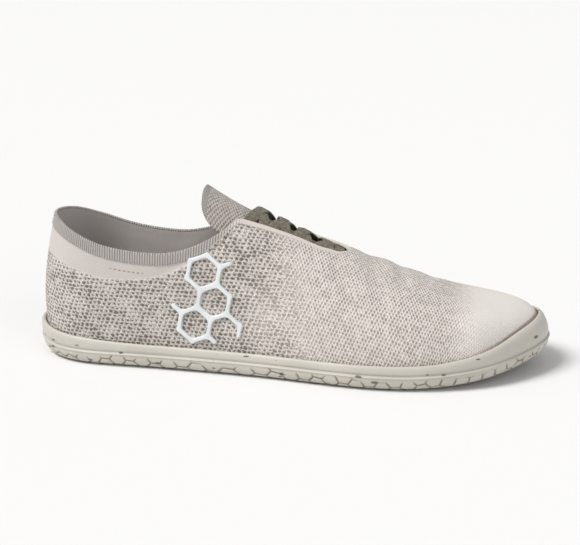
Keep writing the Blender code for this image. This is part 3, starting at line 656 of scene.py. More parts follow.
def waves(a, b, seed):
    # slow unevenness: a few sine waves in turned directions
    out = np.zeros(a.shape)
    for k in range(6):
        turn, pitch = seed + 1.7 * k, 0.016 + 0.006 * k
        out += np.sin((a * math.cos(turn) + b * math.sin(turn)) * 2 * math.pi / pitch + 2.1 * k + seed)
    return out / 6


# Upper: outer skin from the cup to the collar, throat or ridge, a round lip, and the lining back down
def makeUpper():
    shape = upperShape
    station, side = ringStations(shape["ringStep"])
    turnEdge = edgeTurn(station, side)
    fan, run = arcTable(station, side)
    full = np.array([np.interp(turn, fan, length) for turn, length in zip(turnEdge, run)])[:, None]
    band = shape["edgeBand"]
    distance = np.concatenate([(full - band) * np.linspace(0, 1, shape["rows"], endpoint=False),
                               full - band + band * np.linspace(0, 1, shape["edgeRows"])], axis=1)
    turn = turnsAt(station, side, distance)
    turn[:, -1] = turnEdge
    fromEdge, fromRidge = full - distance, run[:, -1:] - distance
    # places on the knit: round the heel and along the side, and across the ridge on top
    angle = ((np.maximum(station, 2) - 2) * np.pi / 2)[:, None]
    centreX = spokeAt(station, side)[0][:, :1]
    topX, topY = centreX + fromRidge * np.sin(angle), side[:, None] * fromRidge * np.cos(angle)
    sideX = centreX - shape["heelRadius"] * (1 - np.minimum(station, 1))[:, None] * np.pi / 2 + 0 * distance
    bare = skin(station, side, turn)
    share = shareOf(bare[..., 0])
    edgeX = edgeAt(station, side, 0)[:, :1]
    alongShare = np.where(station[:, None] < 1, shareOf(edgeX), shareOf(centreX))
    # steps and folds: each lifts the skin along its normal
    openPart = smoothStep(0, 0.10, np.pi / 2 - turnEdge)[:, None]
    atCollar = 1 - smoothStep(*shape["throatFrom"], alongShare)
    hem = atCollar * (1 - smoothStep(shape["hemWidth"], shape["hemWidth"] + 0.0008, fromEdge))
    bind = (1 - atCollar) * openPart * (1 - smoothStep(shape["bindWidth"], shape["bindWidth"] + 0.0007, fromEdge))
    fold = creaseLift(shareOf(topX), topY, shape["creases"])
    calm = smoothStep(0.0, 0.012, distance) * smoothStep(0.0, 0.010, fromEdge * openPart + 1 - openPart)
    lift = (fold + shape["ripple"] * waves(topX, topY, 0.6)) * calm
    lift += shape["hemStep"] * hem + shape["bindStep"] * bind
    outer = skin(station, side, turn, lift)
    pick = np.linspace(0, turn.shape[1] - 1, shape["innerRows"]).round().astype(int)[::-1]
    inner = skin(station, side, turn[:, pick], lift[:, pick] * 0.6 - shape["wall"])
    tangent = outer[:, -1] - outer[:, -2]
    tangent /= sizeOf(tangent) + tiny * tiny
    middle, half = (outer[:, -1] + inner[:, 0]) / 2, (outer[:, -1] - inner[:, 0]) / 2
    raised = openPart * sizeOf(half)
    bends = np.linspace(0, np.pi, 8)[1:-1]
    lip = np.stack([middle + half * math.cos(b) + tangent * raised * math.sin(b) for b in bends], axis=1)
    points = np.concatenate([outer, lip, inner], axis=1)
    rows = turn.shape[1]

    def spread(value, lipValue=None, innerValue=None):
        # values of the outer skin, carried on over the lip and the lining or set there
        lipPart = value[:, -1:] if lipValue is None else 0 * value[:, -1:] + lipValue
        innerPart = value[:, pick] if innerValue is None else 0 * value[:, pick] + innerValue
        return np.concatenate([value, np.repeat(lipPart, len(bends), axis=1), innerPart], axis=1)

    collarWidth = curveAt(shape["collarRows"], 1, alongShare)
    collar = 1 - smoothStep(collarWidth - 0.0006, collarWidth + 0.0014, fromEdge)
    collar *= smoothStep(0.0, 0.002, collarWidth)
    toFine = smoothStep(*shape["fineFrom"], share + 0.25 * (distance / 0.08 - 0.4) * 0.2)
    toToe = smoothStep(*shape["toeFrom"], share)
    patch = 0.45 * bell(share, 0.475, 0.030) * bell(distance, 0.027, 0.016) * (side[:, None] < 0)
    dash = smoothStep(*shape["dashFrom"], alongShare) * (1 - smoothStep(*shape["dashTo"], alongShare))
    rimLine = curveAt(rimRows, 1, shareOf(edgeX)) + groundAt(bare[:, :1, 0])
    seam = 0.75 * (1 - smoothStep(0.0004, 0.0010, bare[..., 2] - rimLine)) * smoothStep(*shape["seamFrom"], share)
    marks = {
        "zoneCoarse": spread((1 - toFine) * (1 - collar) * (1 - bind) * (1 - patch), 0, 0),
        "zoneFine": spread(toFine * (1 - toToe) * (1 - bind), 0, 0), "zoneToe": spread(toToe, 0, 0),
        "zoneCollar": spread(collar, None, 1), "zoneHem": spread(hem, None, 0), "zoneBind": spread(bind, None, 0),
        "dashRow": spread(dash * (fromEdge > 0), 0, 0), "toeSeam": spread(seam, 0, 0),
        "fromEdge": spread(fromEdge, 0, 1),
    }
    faces = gridFaces(len(station), points.shape[1], wrapRows=True, wrapColumns=True)
    keep = np.ones(faces.shape[:2], dtype=bool)
    closed = turnEdge > np.pi / 2 - tiny
    keep[np.ix_(closed & np.roll(closed, -1), np.arange(rows - 1, rows + len(bends)))] = False
    made = makeMesh("knitUpper", points, faces[keep], {
        "sideMap": together(spread(sideX), spread(distance)), "topMap": together(spread(topX), spread(topY))},
        marks, merge=2e-6)
    return link(made, knitMaterial("knitFabric", knitLook), "knit", "upper")


makeUpper()
print("upper done")


soleShape = {
    "roundIn": 0.0081, "roundUp": 0.0070, "roundPower": 2.4, "grooveHeight": 0.0086, "grooveDepth": 0.00060,
    "grooveHalf": 0.00075, "beadLift": 0.00060, "beadDrop": 0.00095, "recess": 0.0022, "fadeStart": 0.10,
    "fadeEnd": 0.34, "ringStep": 0.00058, "crown": 0.0026, "lineEnd": 0.97, "lineDepth": 0.00055,
    "beadHalf": 0.00042,
    # rows across the groove and the bead, in mm from the groove's middle
    "grooveRows": (-1.45, -1.3, -1.18, -1.06, -0.95, -0.84, -0.72, -0.6, -0.48, -0.36, -0.24, -0.12, 0, 0.14, 0.28,
                   0.44, 0.62, 0.85, 1.2),
}
lugShape = {
    "pitch": 0.0079, "gap": 0.00100, "bevel": 0.00028, "waistStretch": 0.34, "waist": 0.40, "waistSpread": 0.12,
    "edgeSteps": 5, "stripeClear": 0.0021,
}
rubberLook = {
    "clean": (0.540, 0.516, 0.468), "shade": (0.430, 0.406, 0.358), "fleck": (0.085, 0.080, 0.075),
    "groove": (0.250, 0.190, 0.105), "roughness": 0.43,
    "large": {"Spacing": 0.0088, "Size": 0.150, "Chance": 0.46},
    "small": {"Spacing": 0.0050, "Size": 0.06, "Chance": 0.10},
}


def hexEdgeGroup():
    # distance to the nearest edge of a hexagon lattice of pitch 1: half less the nearer of two shifted cells
    tree, given, result = newGroup("hexEdge", {"Vector": None, "Width": 0.07}, ("Line", "Valley"))
    parts, high = split(given["Vector"]), math.sqrt(3) / 2
    across, along = calc("PINGPONG", parts[0], high), calc("PINGPONG", parts[1], 0.5)
    cells = [calc("MAXIMUM", b, a * high + b * 0.5) for a, b in ((across, along), (high - across, 0.5 - along))]
    near = (0.5 - calc("MINIMUM", *cells)) / given["Width"]
    feed(result["Line"], ramp(near, 1.15, 0.55))
    feed(result["Valley"], ramp(near, 1.5, 0.2))
    return tree


hexEdge = hexEdgeGroup()


def rubberMaterial(name, look):
    made, tree, shader = newMaterial(name, look["clean"], look["roughness"], {"Specular IOR Level": 0.42})
    place = objectPlace(tree)
    cloud = noise(place, 28.0, 5.0)
    base = blend(ramp(cloud, 0.35, 0.75, 0.0, 0.55), look["clean"], look["shade"])
    # engraved lines: edges of the tread's hexagons rolled up the side, fading unevenly at the top
    line, valley = placeGroup(tree, hexEdge, {
        "Vector": uvOf(tree, "tread"), "Width": lugShape["gap"] / lugShape["pitch"] / 2})
    shown = mark(tree, "lines")
    # the engraved lines darkened to the olive groove colour: painted shade
    lineShade = line * shown * ramp(cloud, 0.25, 0.6, 0.75, 0.95)
    # the recesses darkened to the olive groove colour by their depth: painted shade
    recessShade = mark(tree, "recess") * ramp(cloud, 0.2, 0.6, 0.7, 1.0)
    base = blend(calc("MAXIMUM", recessShade, lineShade), base, look["groove"])
    large, small = [placeGroup(tree, flecks, {"Vector": place, **look[size]})[0] for size in ("large", "small")]
    feed(shader["Base Color"], blend(calc("MAXIMUM", large, small) * 0.85, base, look["fleck"]))
    feed(shader["Roughness"], ramp(cloud, 0.2, 0.8, look["roughness"] - 0.06, look["roughness"] + 0.08))
    bumpTo(shader, noise(place, 1400.0, 3.0) * 0.1 - valley * shown, 0.5 * soleShape["lineDepth"])
    return made


def roundProfile(count=160):
    # from the flat tread to the upright side: inset a(1 - sin^k), height b(1 - cos^k), by arc length
    turn = np.linspace(0, np.pi / 2, count)
    power = 2 / soleShape["roundPower"]
    inset = soleShape["roundIn"] * (1 - np.sin(turn) ** power)
    height = soleShape["roundUp"] * (1 - np.cos(turn) ** power)
    run = np.concatenate([[0], np.cumsum(np.hypot(np.diff(inset), np.diff(height)))])
    slopeIn, slopeUp = np.gradient(inset, run), np.gradient(height, run)
    size = np.hypot(slopeIn, slopeUp)
    return run, inset, height, slopeUp / size, -slopeIn / size


roundRun, roundInset, roundHeight, roundOut, roundDown = roundProfile()


def roundAt(run, lift):
    # inset and height on the round, moved along its own normal by the lift
    inset = np.interp(run, roundRun, roundInset) - lift * np.interp(run, roundRun, roundOut)
    return inset, np.interp(run, roundRun, roundHeight) - lift * np.interp(run, roundRun, roundDown)


def recessAt(run):
    # depth of the grooves between the lugs: full under the shoe, fading to nothing up the side
    share = run / roundRun[-1]
    return soleShape["recess"] * (1 - smoothStep(soleShape["fadeStart"], soleShape["fadeEnd"], share))


def lugStretch(x):
    return 1 + lugShape["waistStretch"] * bell(shareOf(x), lugShape["waist"], lugShape["waistSpread"])


def lugColumns():
    # columns of lugs along the length, stretched round the waist
    columns = [-shoeLength / 2 - 0.002]
    while columns[-1] < shoeLength / 2 + 0.006:
        columns.append(columns[-1] + math.sqrt(3) / 2 * lugShape["pitch"] * lugStretch(columns[-1]))
    return np.array(columns)


lugPlaces = lugColumns()


def treadPlace(points, run):
    # lattice place of points on the round: plan spot rolled out flat, in columns and pitches
    outward, foot, _ = onRing(points[:, :2])
    flat = foot + outward * (run - soleShape["roundIn"])
    column = np.interp(flat[:, 0], lugPlaces, np.arange(len(lugPlaces)))
    return together(column * math.sqrt(3) / 2, flat[:, 1] / lugShape["pitch"]), outward


def lineShown(share, spot):
    # how far the engraved lines show: from the flat tread up to an uneven height on the side
    uneven = sum(np.sin(spot[:, 0] / a + spot[:, 1] / b + c) for a, b, c in (
        (0.0061, 0.0083, 2.1), (0.0037, -0.0052, 0.4), (0.0113, 0.0047, 4.0)))
    end = soleShape["lineEnd"] + 0.05 * uneven
    return smoothStep(0.14, 0.26, share) * (1 - smoothStep(0, 1, (share - end + 0.20) / 0.20))


def lineValley(place):
    # the lattice's edges as in the material's group: 1 along an edge, 0 about 0.75 mm away
    high = math.sqrt(3) / 2
    across = np.abs((place[:, 0] + high) % (2 * high) - high)
    along = np.abs((place[:, 1] + 0.5) % 1 - 0.5)
    inside = [np.maximum(b, a * high + b / 2) for a, b in ((across, along), (high - across, 0.5 - along))]
    edge = 0.5 - np.minimum(*inside)
    return 1 - smoothStep(0.25, 1.5, 2 * edge * lugShape["pitch"] / lugShape["gap"])


# Cup: recessed underside, rounded lower band, fine groove with a bead below it, crowned rim and the well
def makeCup():
    station, side = ringStations(soleShape["ringStep"])
    base = riseAt(station, side)
    rim = curveAt(rimRows, 1, shareOf(edgeAt(station, side, 0)[:, 0]))
    wall, crown, groove, deep = last["rimWall"], soleShape["crown"], soleShape["grooveHeight"], soleShape["recess"]
    none, flat = np.zeros(len(station)), np.zeros((len(station), 2))
    rows, shadeMark, place, shown = [], [], [], []

    # each row's share of painted shade: darker in the deeper recesses and in the fine groove
    def add(row, shadeShare=0.0, lattice=None, lines=none):
        rows.append(row)
        shadeMark.append(none + shadeShare)
        place.append(place[-1] if lattice is None else lattice)
        shown.append(lines)

    middle, inner = middleRow(station, side, deep), sideRow(station, side, 0.014, deep, base)
    for part in (0, 0.4, 0.75, 1):
        row = middle + (inner - middle) * part
        row[:, 2] = deep + groundAt(row[:, 0])
        add(row, 1.0, flat)
    for run in np.linspace(0, roundRun[-1], 26):
        depth = float(recessAt(run))
        row = sideRow(station, side, *roundAt(run, -depth), base)
        lattice, outward = treadPlace(row, run)
        lines = lineShown(run / roundRun[-1], row)
        engraved = (soleShape["lineDepth"] * lines * lineValley(lattice))[:, None]
        row[:, :2] -= outward * engraved * np.interp(run, roundRun, roundOut)
        row[:, 2:] += engraved * np.interp(run, roundRun, roundDown)
        add(row, smoothStep(0.04, 0.32, depth / deep), lattice, lines)
    for offset in np.array(soleShape["grooveRows"]) * 0.001:
        cut = soleShape["grooveDepth"] * bell(offset, 0, soleShape["grooveHalf"])
        bead = soleShape["beadLift"] * bell(offset, -soleShape["beadDrop"], soleShape["beadHalf"])
        add(sideRow(station, side, cut - bead, groove + offset, base), 0.10 * bell(offset, -0.0001, 0.0004))
    shoulder = groove + offset
    for part in (0.33, 0.66, 1.0):
        add(sideRow(station, side, 0.0, shoulder + (rim - crown - shoulder) * part, base))
    for bend in np.linspace(0, np.pi, 13)[1:]:
        drop = crown if bend < np.pi / 2 else 0.45 * crown
        add(sideRow(station, side, wall * (1 - math.cos(bend)) / 2, rim - drop * (1 - math.sin(bend)), base))
    for part in (0.75, 0.5, 0.25, 0.0):
        height = last["floorHeight"] + (rim - 0.45 * crown - last["floorHeight"]) * part
        add(sideRow(station, side, wall, height, base))
    add(middleRow(station, side, last["floorHeight"]))
    return makeMesh("cupSole", np.stack(rows), gridFaces(len(rows), len(station), wrapColumns=True),
                    {"tread": np.stack(place)}, {"recess": np.stack(shadeMark), "lines": np.stack(shown)}, merge=2e-6)


rubber = rubberMaterial("soleRubber", rubberLook)
link(makeCup(), rubber, "sole_rubber", "outsole")
print("cup done")


# Stripe: share of the length, share of the waist width to the inner side, share of the stripe's width
stripeRows = (
    (0.055, 0.00, 0.30), (0.100, 0.00, 0.85), (0.200, -0.02, 1.00), (0.300, -0.06, 0.90),
    (0.400, -0.11, 0.72), (0.480, -0.13, 0.45), (0.540, -0.13, 0.12),
)
stripeShape = {
    "width": 0.0062, "recess": 0.0009, "thickness": 0.0022, "bandPitch": 0.0031, "bandLift": 0.00035,
    "frameOut": 0.0011, "frameWide": 0.00055, "frameUp": 0.0017, "frameHigh": 0.0012,
}


def stripeMiddle(x):
    return curveAt(stripeRows, 1, shareOf(x)) * last["waistWidth"] - middleShift


def stripeLine(count):
    x = np.linspace(xAt(stripeRows[0][0]), xAt(stripeRows[-1][0]), count)
    return x, stripeMiddle(x), curveAt(stripeRows, 2, shareOf(x)) * stripeShape["width"] / 2


def stripeHalf(x):
    share = shareOf(x)
    inside = (share > stripeRows[0][0] - 0.012) & (share < stripeRows[-1][0] + 0.012)
    return np.where(inside, curveAt(stripeRows, 2, share) * stripeShape["width"] / 2, -1.0)


def wrapSole(spot, lift):
    # a flat plan rolled round the sole's edge: flat inside the round, then up the side by arc length
    out = np.zeros((len(spot), 3))
    for start in range(0, len(spot), 4000):  # in parts, to keep the memory small
        part = spot[start:start + 4000]
        outward, foot, outside = onRing(part)
        run = np.clip(soleShape["roundIn"] + outside, 0, roundRun[-1] * 0.97)
        share = run / roundRun[-1]
        sink = 0.0007 * smoothStep(soleShape["fadeEnd"] - 0.01, soleShape["fadeEnd"] + 0.06, share)
        inset, height = roundAt(run, lift + smoothStep(0.05, 0.35, share) * 0.00005 - sink)
        flat = outside <= -soleShape["roundIn"]
        plan = np.where(flat[:, None], part, foot - outward * inset[:, None])
        out[start:start + 4000] = np.column_stack([plan, np.where(flat, -lift, height) + groundAt(plan[:, 0])])
    return out


def clipLugs(centre, outer):
    # cut each outline along the stripe's side, or square to it past its ends, seen from a point in the rest
    low, high = xAt(stripeRows[0][0]), xAt(stripeRows[-1][0])
    reach = (lugShape["pitch"] - lugShape["gap"]) / 2
    away = centre[:, 1] - stripeMiddle(centre[:, 0])
    past = np.where(centre[:, 0] > high, 1.0, np.where(centre[:, 0] < low, -1.0, 0.0))
    home = np.where(away < 0, -1.0, 1.0)

    def beyond(spot):
        turn, side = [value.reshape((-1,) + (1,) * (spot.ndim - 2)) for value in (past, home)]
        x = np.clip(spot[..., 0], low, high)
        beside = side * (spot[..., 1] - stripeMiddle(x)) - stripeHalf(x) - lugShape["stripeClear"]
        ahead = turn * spot[..., 0] - np.where(turn > 0, high, -low) - lugShape["stripeClear"]
        clear = np.abs(away).reshape(turn.shape) > reach + 0.002
        return np.where(turn == 0, beside, np.where(clear, 1.0, ahead))

    left = beyond(centre)
    move = np.clip(reach - left, 0, None) / 2
    heart = centre + move[:, None] * together(past, np.where(past == 0, home, 0))
    inner, outside = beyond(heart)[:, None], beyond(outer)
    share = np.where(outside < 0, inner / np.maximum(inner - outside, tiny), 1.0)
    return heart, heart[:, None] + share[..., None] * (outer - heart[:, None])


# Lugs: hexagons in staggered columns, each a flat top, a bevel, a wall down into the recess and a closed floor
def makeLugs():
    corner = np.radians(np.arange(7) * 60)
    hexagon = together(np.cos(corner), np.sin(corner))
    ring = np.concatenate([np.linspace(hexagon[k], hexagon[k + 1], lugShape["edgeSteps"], endpoint=False)
                           for k in range(6)])
    column, row = np.meshgrid(np.arange(len(lugPlaces)), np.arange(-9, 10), indexing="ij")
    centre = together(lugPlaces[column], lugShape["pitch"] * (row + 0.5 * (column % 2))).reshape(-1, 2)
    outside = onRing(centre)[2]
    limit = roundRun[-1] * soleShape["fadeEnd"] - soleShape["roundIn"]
    centre = centre[(outside < limit + 0.4 * lugShape["pitch"]) & (
        np.abs(centre[:, 1] - stripeMiddle(centre[:, 0])) > stripeHalf(centre[:, 0]) + 0.0008)]
    radius = (lugShape["pitch"] - lugShape["gap"]) / math.sqrt(3)
    bevel, floor = lugShape["bevel"], -soleShape["recess"] - 0.0002
    stretch = together(lugStretch(centre[:, 0]), 1.0)
    heart, outer = clipLugs(centre, centre[:, None] + ring[None] * radius * stretch[:, None])
    layers = []
    for size, lift in ((0.0, 0.0), (0.3 * radius, 0.0), (0.55 * radius, 0.0), (0.78 * radius, 0.0),
                       (radius - bevel, 0.0), (radius - 0.3 * bevel, -0.3 * bevel), (radius, -bevel),
                       (radius + 0.0001, floor), (0.0, floor)):
        spot = heart[:, None] + size / radius * (outer - heart[:, None])
        layers.append(wrapSole(spot.reshape(-1, 2), lift).reshape(len(centre), -1, 3))
    points = np.stack(layers, axis=1)
    local = gridFaces(len(layers), len(ring), wrapColumns=True).reshape(-1, 4)
    faces = local[None] + (np.arange(len(centre)) * len(layers) * len(ring))[:, None, None]
    shadeMark = np.zeros(points.shape[:3])
    # painted shade: the walls half darkened, the floor of the recess fully
    shadeMark[:, -3], shadeMark[:, -2:] = 0.45, 1.0
    return makeMesh("treadLugs", points, faces, {"tread": points[..., :2] / lugShape["pitch"]},
                    {"recess": shadeMark, "lines": 0 * shadeMark}, merge=2e-6)


link(makeLugs(), rubber, "sole_rubber")
print("lugs done")


stripeLook = {"dark": (0.100, 0.016, 0.018), "light": (0.330, 0.075, 0.072), "tip": (0.86, 0.235, 0.120)}


def stripeMaterial():
    made, tree, shader = newMaterial("stripeRubber", stripeLook["light"], 0.42)
    place = uvOf(tree, "stripeMap")
    along = split(place)[0]
    band = calc("ABSOLUTE", calc("FRACT", along / (2 * stripeShape["bandPitch"])) - 0.5)
    colour = blend(ramp(band, 0.22, 0.28), stripeLook["dark"], stripeLook["light"])
    feed(shader["Base Color"], blend(ramp(along, -0.028, 0.008), colour, stripeLook["tip"]))
    bumpTo(shader, noise(place, 900.0), 0.00005)
    return made


# Stripe: a bar in its channel, its underside in steps by a squared wave along the length
def makeStripe():
    x, middle, half = stripeLine(420)
    wave = np.tanh(6 * np.sin(x * math.pi / stripeShape["bandPitch"])) * (1 - smoothStep(-0.03, 0.0, x))
    low = (stripeShape["recess"] - stripeShape["bandLift"] * (0.5 + 0.5 * wave))[:, None]
    high = stripeShape["recess"] + stripeShape["thickness"]
    section = np.array([(-1.0, 1.0), (-1.0, 0.15), (-0.88, 0.0), (-0.45, -0.02), (0.0, -0.03), (0.45, -0.02),
                        (0.88, 0.0), (1.0, 0.15), (1.0, 1.0), (0.0, 1.0)])
    y = middle[:, None] + half[:, None] * section[:, 0]
    z = groundAt(x)[:, None] + low + (high - low) * section[:, 1]
    points = together(x[:, None], y, z)
    return makeMesh("stripeInsert", points, barFaces(*y.shape), {"stripeMap": points[..., :2]}, merge=2e-6)


link(makeStripe(), stripeMaterial(), "stripe_rubber", "sole_stripe")


# Ridge that frames the stripe's channel: a flattened ring carried along a closed path round it
def makeStripeFrame():
    x, middle, half = stripeLine(260)
    half = half + stripeShape["frameOut"]
    bend = np.linspace(-np.pi / 2, np.pi / 2, 12)[1:-1]
    tip, tail = [together(x[k] + turn * half[k] * np.cos(bend), middle[k] + turn * half[k] * np.sin(bend))
                 for k, turn in ((-1, 1), (0, -1))]
    path = np.concatenate([together(x, middle - half), tip, together(x, middle + half)[::-1], tail])
    outward = alongRing(path)[1]
    turn = np.linspace(0, 2 * math.pi, 12, endpoint=False)
    plan = path[:, None] + outward[:, None] * (stripeShape["frameWide"] * np.cos(turn))[None, :, None]
    height = groundAt(path[:, 0])[:, None] + stripeShape["frameUp"] + stripeShape["frameHigh"] * np.sin(turn)
    points = np.concatenate([plan, height[..., None]], axis=2)
    return makeMesh("stripeFrame", points, gridFaces(len(path), 12, wrapRows=True, wrapColumns=True),
                    {"tread": 0 * plan}, {"recess": 0 * height, "lines": 0 * height}, merge=1e-7)


link(makeStripeFrame(), rubber, "sole_rubber")
print("stripe done")


footbedShape = {
    "ringStep": 0.0022, "clear": 0.0006, "thickness": 0.0030, "round": 0.0014, "dip": 0.0010,
    # heel seat: distance in from the edge, depth
    "seat": ((0.006, 0.0001), (0.012, 0.0005), (0.020, 0.0009)),
}
footbedLook = {
    "cloth": (0.040, 0.034, 0.029), "band": (0.150, 0.028, 0.030), "nap": (0.12, 0.10, 0.09), "bandPitch": 0.0085,
}


def footbedMaterial():
    made, tree, shader = newMaterial("footbedCloth", footbedLook["cloth"], 0.95)
    place = objectPlace(tree)
    x, y, _ = split(place)
    band = calc("ABSOLUTE", calc("FRACT", (x + y * y * 6.0) / footbedLook["bandPitch"]) - 0.5)
    drawn = ramp(band, 0.24, 0.20) * ramp(x, -0.030, -0.050)
    nap = noise(place, 900.0, 4.0)
    colour = blend(drawn, footbedLook["cloth"], footbedLook["band"])
    feed(shader["Base Color"], blend(ramp(nap, 0.3, 0.8, 0.0, 0.25), colour, footbedLook["nap"]))
    bumpTo(shader, nap, 0.0003)
    return made


# Footbed: a thin pad with a rounded upper edge and a shallow heel seat
def makeFootbed():
    station, side = ringStations(footbedShape["ringStep"])
    base = riseAt(station, side)
    inset = upperInset + upperShape["wall"] + footbedShape["clear"]
    low = last["floorHeight"] + last["gap"]
    top, curl = low + footbedShape["thickness"], footbedShape["round"]
    insets = [inset] + [inset + curl * (1 - math.cos(bend)) for bend in np.linspace(0, np.pi / 2, 6)]
    heights = [low] + [top - curl * (1 - math.sin(bend)) for bend in np.linspace(0, np.pi / 2, 6)]
    for reach, dip in footbedShape["seat"]:
        insets.append(inset + reach)
        heights.append(top - dip)
    rows = [sideRow(station, side, a, b, base) for a, b in zip(insets, heights)]
    points = np.stack([middleRow(station, side, low), *rows, middleRow(station, side, top - footbedShape["dip"])])
    return makeMesh("footbed", points, gridFaces(len(points), len(station), wrapColumns=True), merge=2e-6)


link(makeFootbed(), footbedMaterial(), "insole_fabric", "insole")
print("footbed done")


tongueShape = {
    "top": 0.345, "end": 0.672, "thickness": 0.0026, "overlap": 0.012, "columns": 61, "rows": 170, "quilt": 0.0003,
    "tip": 0.034, "tipWidth": 0.66, "underLaces": 0.0049, "underVamp": 0.0026,
}


# Tongue: a strip that hugs the ridge under the laces, with soft edges and a rounded top
def makeTongue():
    shape = tongueShape
    share = np.linspace(shape["top"], shape["end"], shape["rows"])[:, None]
    part = np.linspace(-1, 1, shape["columns"])
    fromTop = share - shape["top"]
    crown = np.sqrt(1 - (1 - np.clip(fromTop / shape["tip"], 0, 1)) ** 2)
    half = curveAt(throatRows, 1, share) * last["throatHalf"] + shape["overlap"]
    across = half * (shape["tipWidth"] + (1 - shape["tipWidth"]) * crown) * part
    share, fromTop = share + 0 * across, fromTop + 0 * across
    end = last["throatEnd"] - 0.01
    front = np.clip((share - end) / (shape["end"] - end - 0.02), 0, 1)
    depth = shape["underLaces"] + (shape["underVamp"] - shape["underLaces"]) * front
    rounded = (1 - np.abs(part) ** 8) * np.minimum(1, fromTop / 0.006) ** 0.5
    thick = shape["thickness"] * (0.25 + 0.75 * rounded)
    wave = shape["quilt"] * waves(xAt(share), across, 2.4)
    top, under = [overRidge(share.ravel(), across.ravel(), lift.ravel()).reshape(*share.shape, 3)
                  for lift in (wave - depth, -depth - thick)]
    points = np.concatenate([top, under[:, ::-1]], axis=1)
    columns = points.shape[1]
    hem = np.tile(1 - smoothStep(0.010, 0.013, fromTop), 2)
    uv = together(xAt(share), across)
    uv = np.concatenate([uv, uv[:, ::-1]], axis=1)
    marks = {name: 0 * hem for name in ("zoneCoarse", "zoneToe", "zoneBind", "dashRow", "toeSeam")}
    marks.update(zoneFine=(1 - hem) * (np.arange(columns) < len(part)), zoneCollar=hem, zoneHem=hem,
                 fromEdge=0 * hem + 1)
    return makeMesh("knitTongue", points, barFaces(len(share), columns),
                    {"sideMap": uv[..., ::-1], "topMap": uv}, marks, merge=1e-7)


# a darker copy of the knit: painted shade, for the shadow under the laces
shadedTongueLook = dict(knitLook, yarn=(0.53, 0.485, 0.450), yarnShade=(0.39, 0.350, 0.320))
link(makeTongue(), knitMaterial("tongueFabricShaded", shadedTongueLook), "tongue_knit", "tongue")
print("tongue done")


laceShape = {
    "width": 0.0056, "thickness": 0.0012, "first": 0.592, "last": 0.425, "pairs": 5, "reach": 0.0055,
    "rise": 0.0021, "cross": 0.00062, "steps": 44, "depth": 0.0031, "crossHalf": 0.0045,
}
laceLook = {
    "yarn": (0.215, 0.182, 0.122), "dark": (0.085, 0.070, 0.047), "speck": (0.56, 0.52, 0.42), "pitch": 0.00105,
    "speckLength": 0.0014, "speckWidth": 0.0009, "speckShare": 0.38,
}


def laceMaterial():
    made, tree, shader = newMaterial("laceWeave", laceLook["yarn"], 0.85, {"Sheen Weight": 0.2})
    along, across, _ = split(uvOf(tree, "laceMap"))
    pitch = 2 * math.pi / laceLook["pitch"]
    weave = calc("SINE", (along + across) * pitch) * calc("SINE", (along - across) * pitch)
    # the weave's hollows take the dark colour: painted shade
    colour = blend(ramp(weave, -0.7, 0.5), laceLook["dark"], laceLook["yarn"])
    chance = chanceIn(along / laceLook["speckLength"], across / laceLook["speckWidth"])
    speck = ramp(weave, 0.05, 0.5) * calc("GREATER_THAN", chance, 1 - laceLook["speckShare"])
    feed(shader["Base Color"], blend(speck * 0.85, colour, laceLook["speck"]))
    bumpTo(shader, weave, 0.00022)
    return made


def laceStrip(name, route, over):
    # a flat woven strip along the route: a pillow section carried over the ridge, lifted where it crosses
    steps, sides = laceShape["steps"], 24
    line = np.concatenate([np.linspace(route[k], route[k + 1], steps, endpoint=k == len(route) - 2)
                           for k in range(len(route) - 1)])
    for _ in range(5):
        line[1:-1] = (line[:-2] + 2 * line[1:-1] + line[2:]) / 4
    along = np.gradient(line, axis=0)
    way = together(-along[:, 1], along[:, 0]) / sizeOf(along)
    run = np.concatenate([[0], np.cumsum(sizeOf(np.diff(line, axis=0)))])
    angle = np.linspace(0, 2 * math.pi, sides, endpoint=False)
    flat = np.sign(np.cos(angle)) * np.abs(np.cos(angle)) ** 0.45 * laceShape["width"] / 2
    thick = np.sign(np.sin(angle)) * np.abs(np.sin(angle)) ** 0.75 * laceShape["thickness"] / 2
    gap = np.maximum(curveAt(throatRows, 1, shareOf(line[:, 0])) * last["throatHalf"], 0.004)
    rise = laceShape["rise"] * np.clip(1 - (line[:, 1] / gap) ** 2, -0.15, 1)
    cross = over * laceShape["cross"] * bell(line[:, 1], 0, laceShape["crossHalf"])
    lift = (rise + cross - laceShape["depth"] - laceShape["thickness"] / 2)[:, None] + thick
    spot = line[:, None] + way[:, None] * flat[None, :, None]
    points = overRidge(shareOf(spot[..., 0]).ravel(), spot[..., 1].ravel(), lift.ravel())
    return makeMesh(name, points, barFaces(len(line), sides), {"laceMap": together(run[:, None], flat)}, merge=1e-7)


# Laces: two zigzag strips that cross on the middle line, and the bar that starts them
def makeLaces():
    share = np.linspace(laceShape["first"], laceShape["last"], laceShape["pairs"])
    x = xAt(share)
    half = curveAt(throatRows, 1, share) * last["throatHalf"] + laceShape["reach"]
    material = laceMaterial()
    sign = (-1) ** np.arange(len(x))
    for name, direction, over in (("laceOuter", -1, 1.0), ("laceInner", 1, -1.0)):
        made = laceStrip(name, together(x, direction * sign * half), over)
        link(made, material, "lace", *(("laces",) if direction < 0 else ()))
    bar = laceStrip("laceBar", np.array([(x[0] + 0.001, -half[0]), (x[0] + 0.001, half[0])]), -1.5)
    link(bar, material, "lace")


makeLaces()
print("laces done")


netShape = {
    "pitch": 0.0165, "line": 0.0024, "thickness": 0.0009, "place": 0.340, "height": 0.0208, "lean": 9.0,
    "grid": 0.00028, "fillet": 0.0011, "shoulder": 0.00045, "shell": 0.0004,
    # open lines: column, row, angle where the line starts, angle where it heads, share drawn
    "open": ((1, 0, 90, 30, 1.0), (1, 0, 30, -30, 0.55), (1, 0, 210, 270, 0.5), (-1, 0, 30, 90, 0.62),
             (1, 2, 150, 90, 0.55)),
}
netLook = {"film": (0.710, 0.740, 0.752), "shade": (0.61, 0.64, 0.655)}


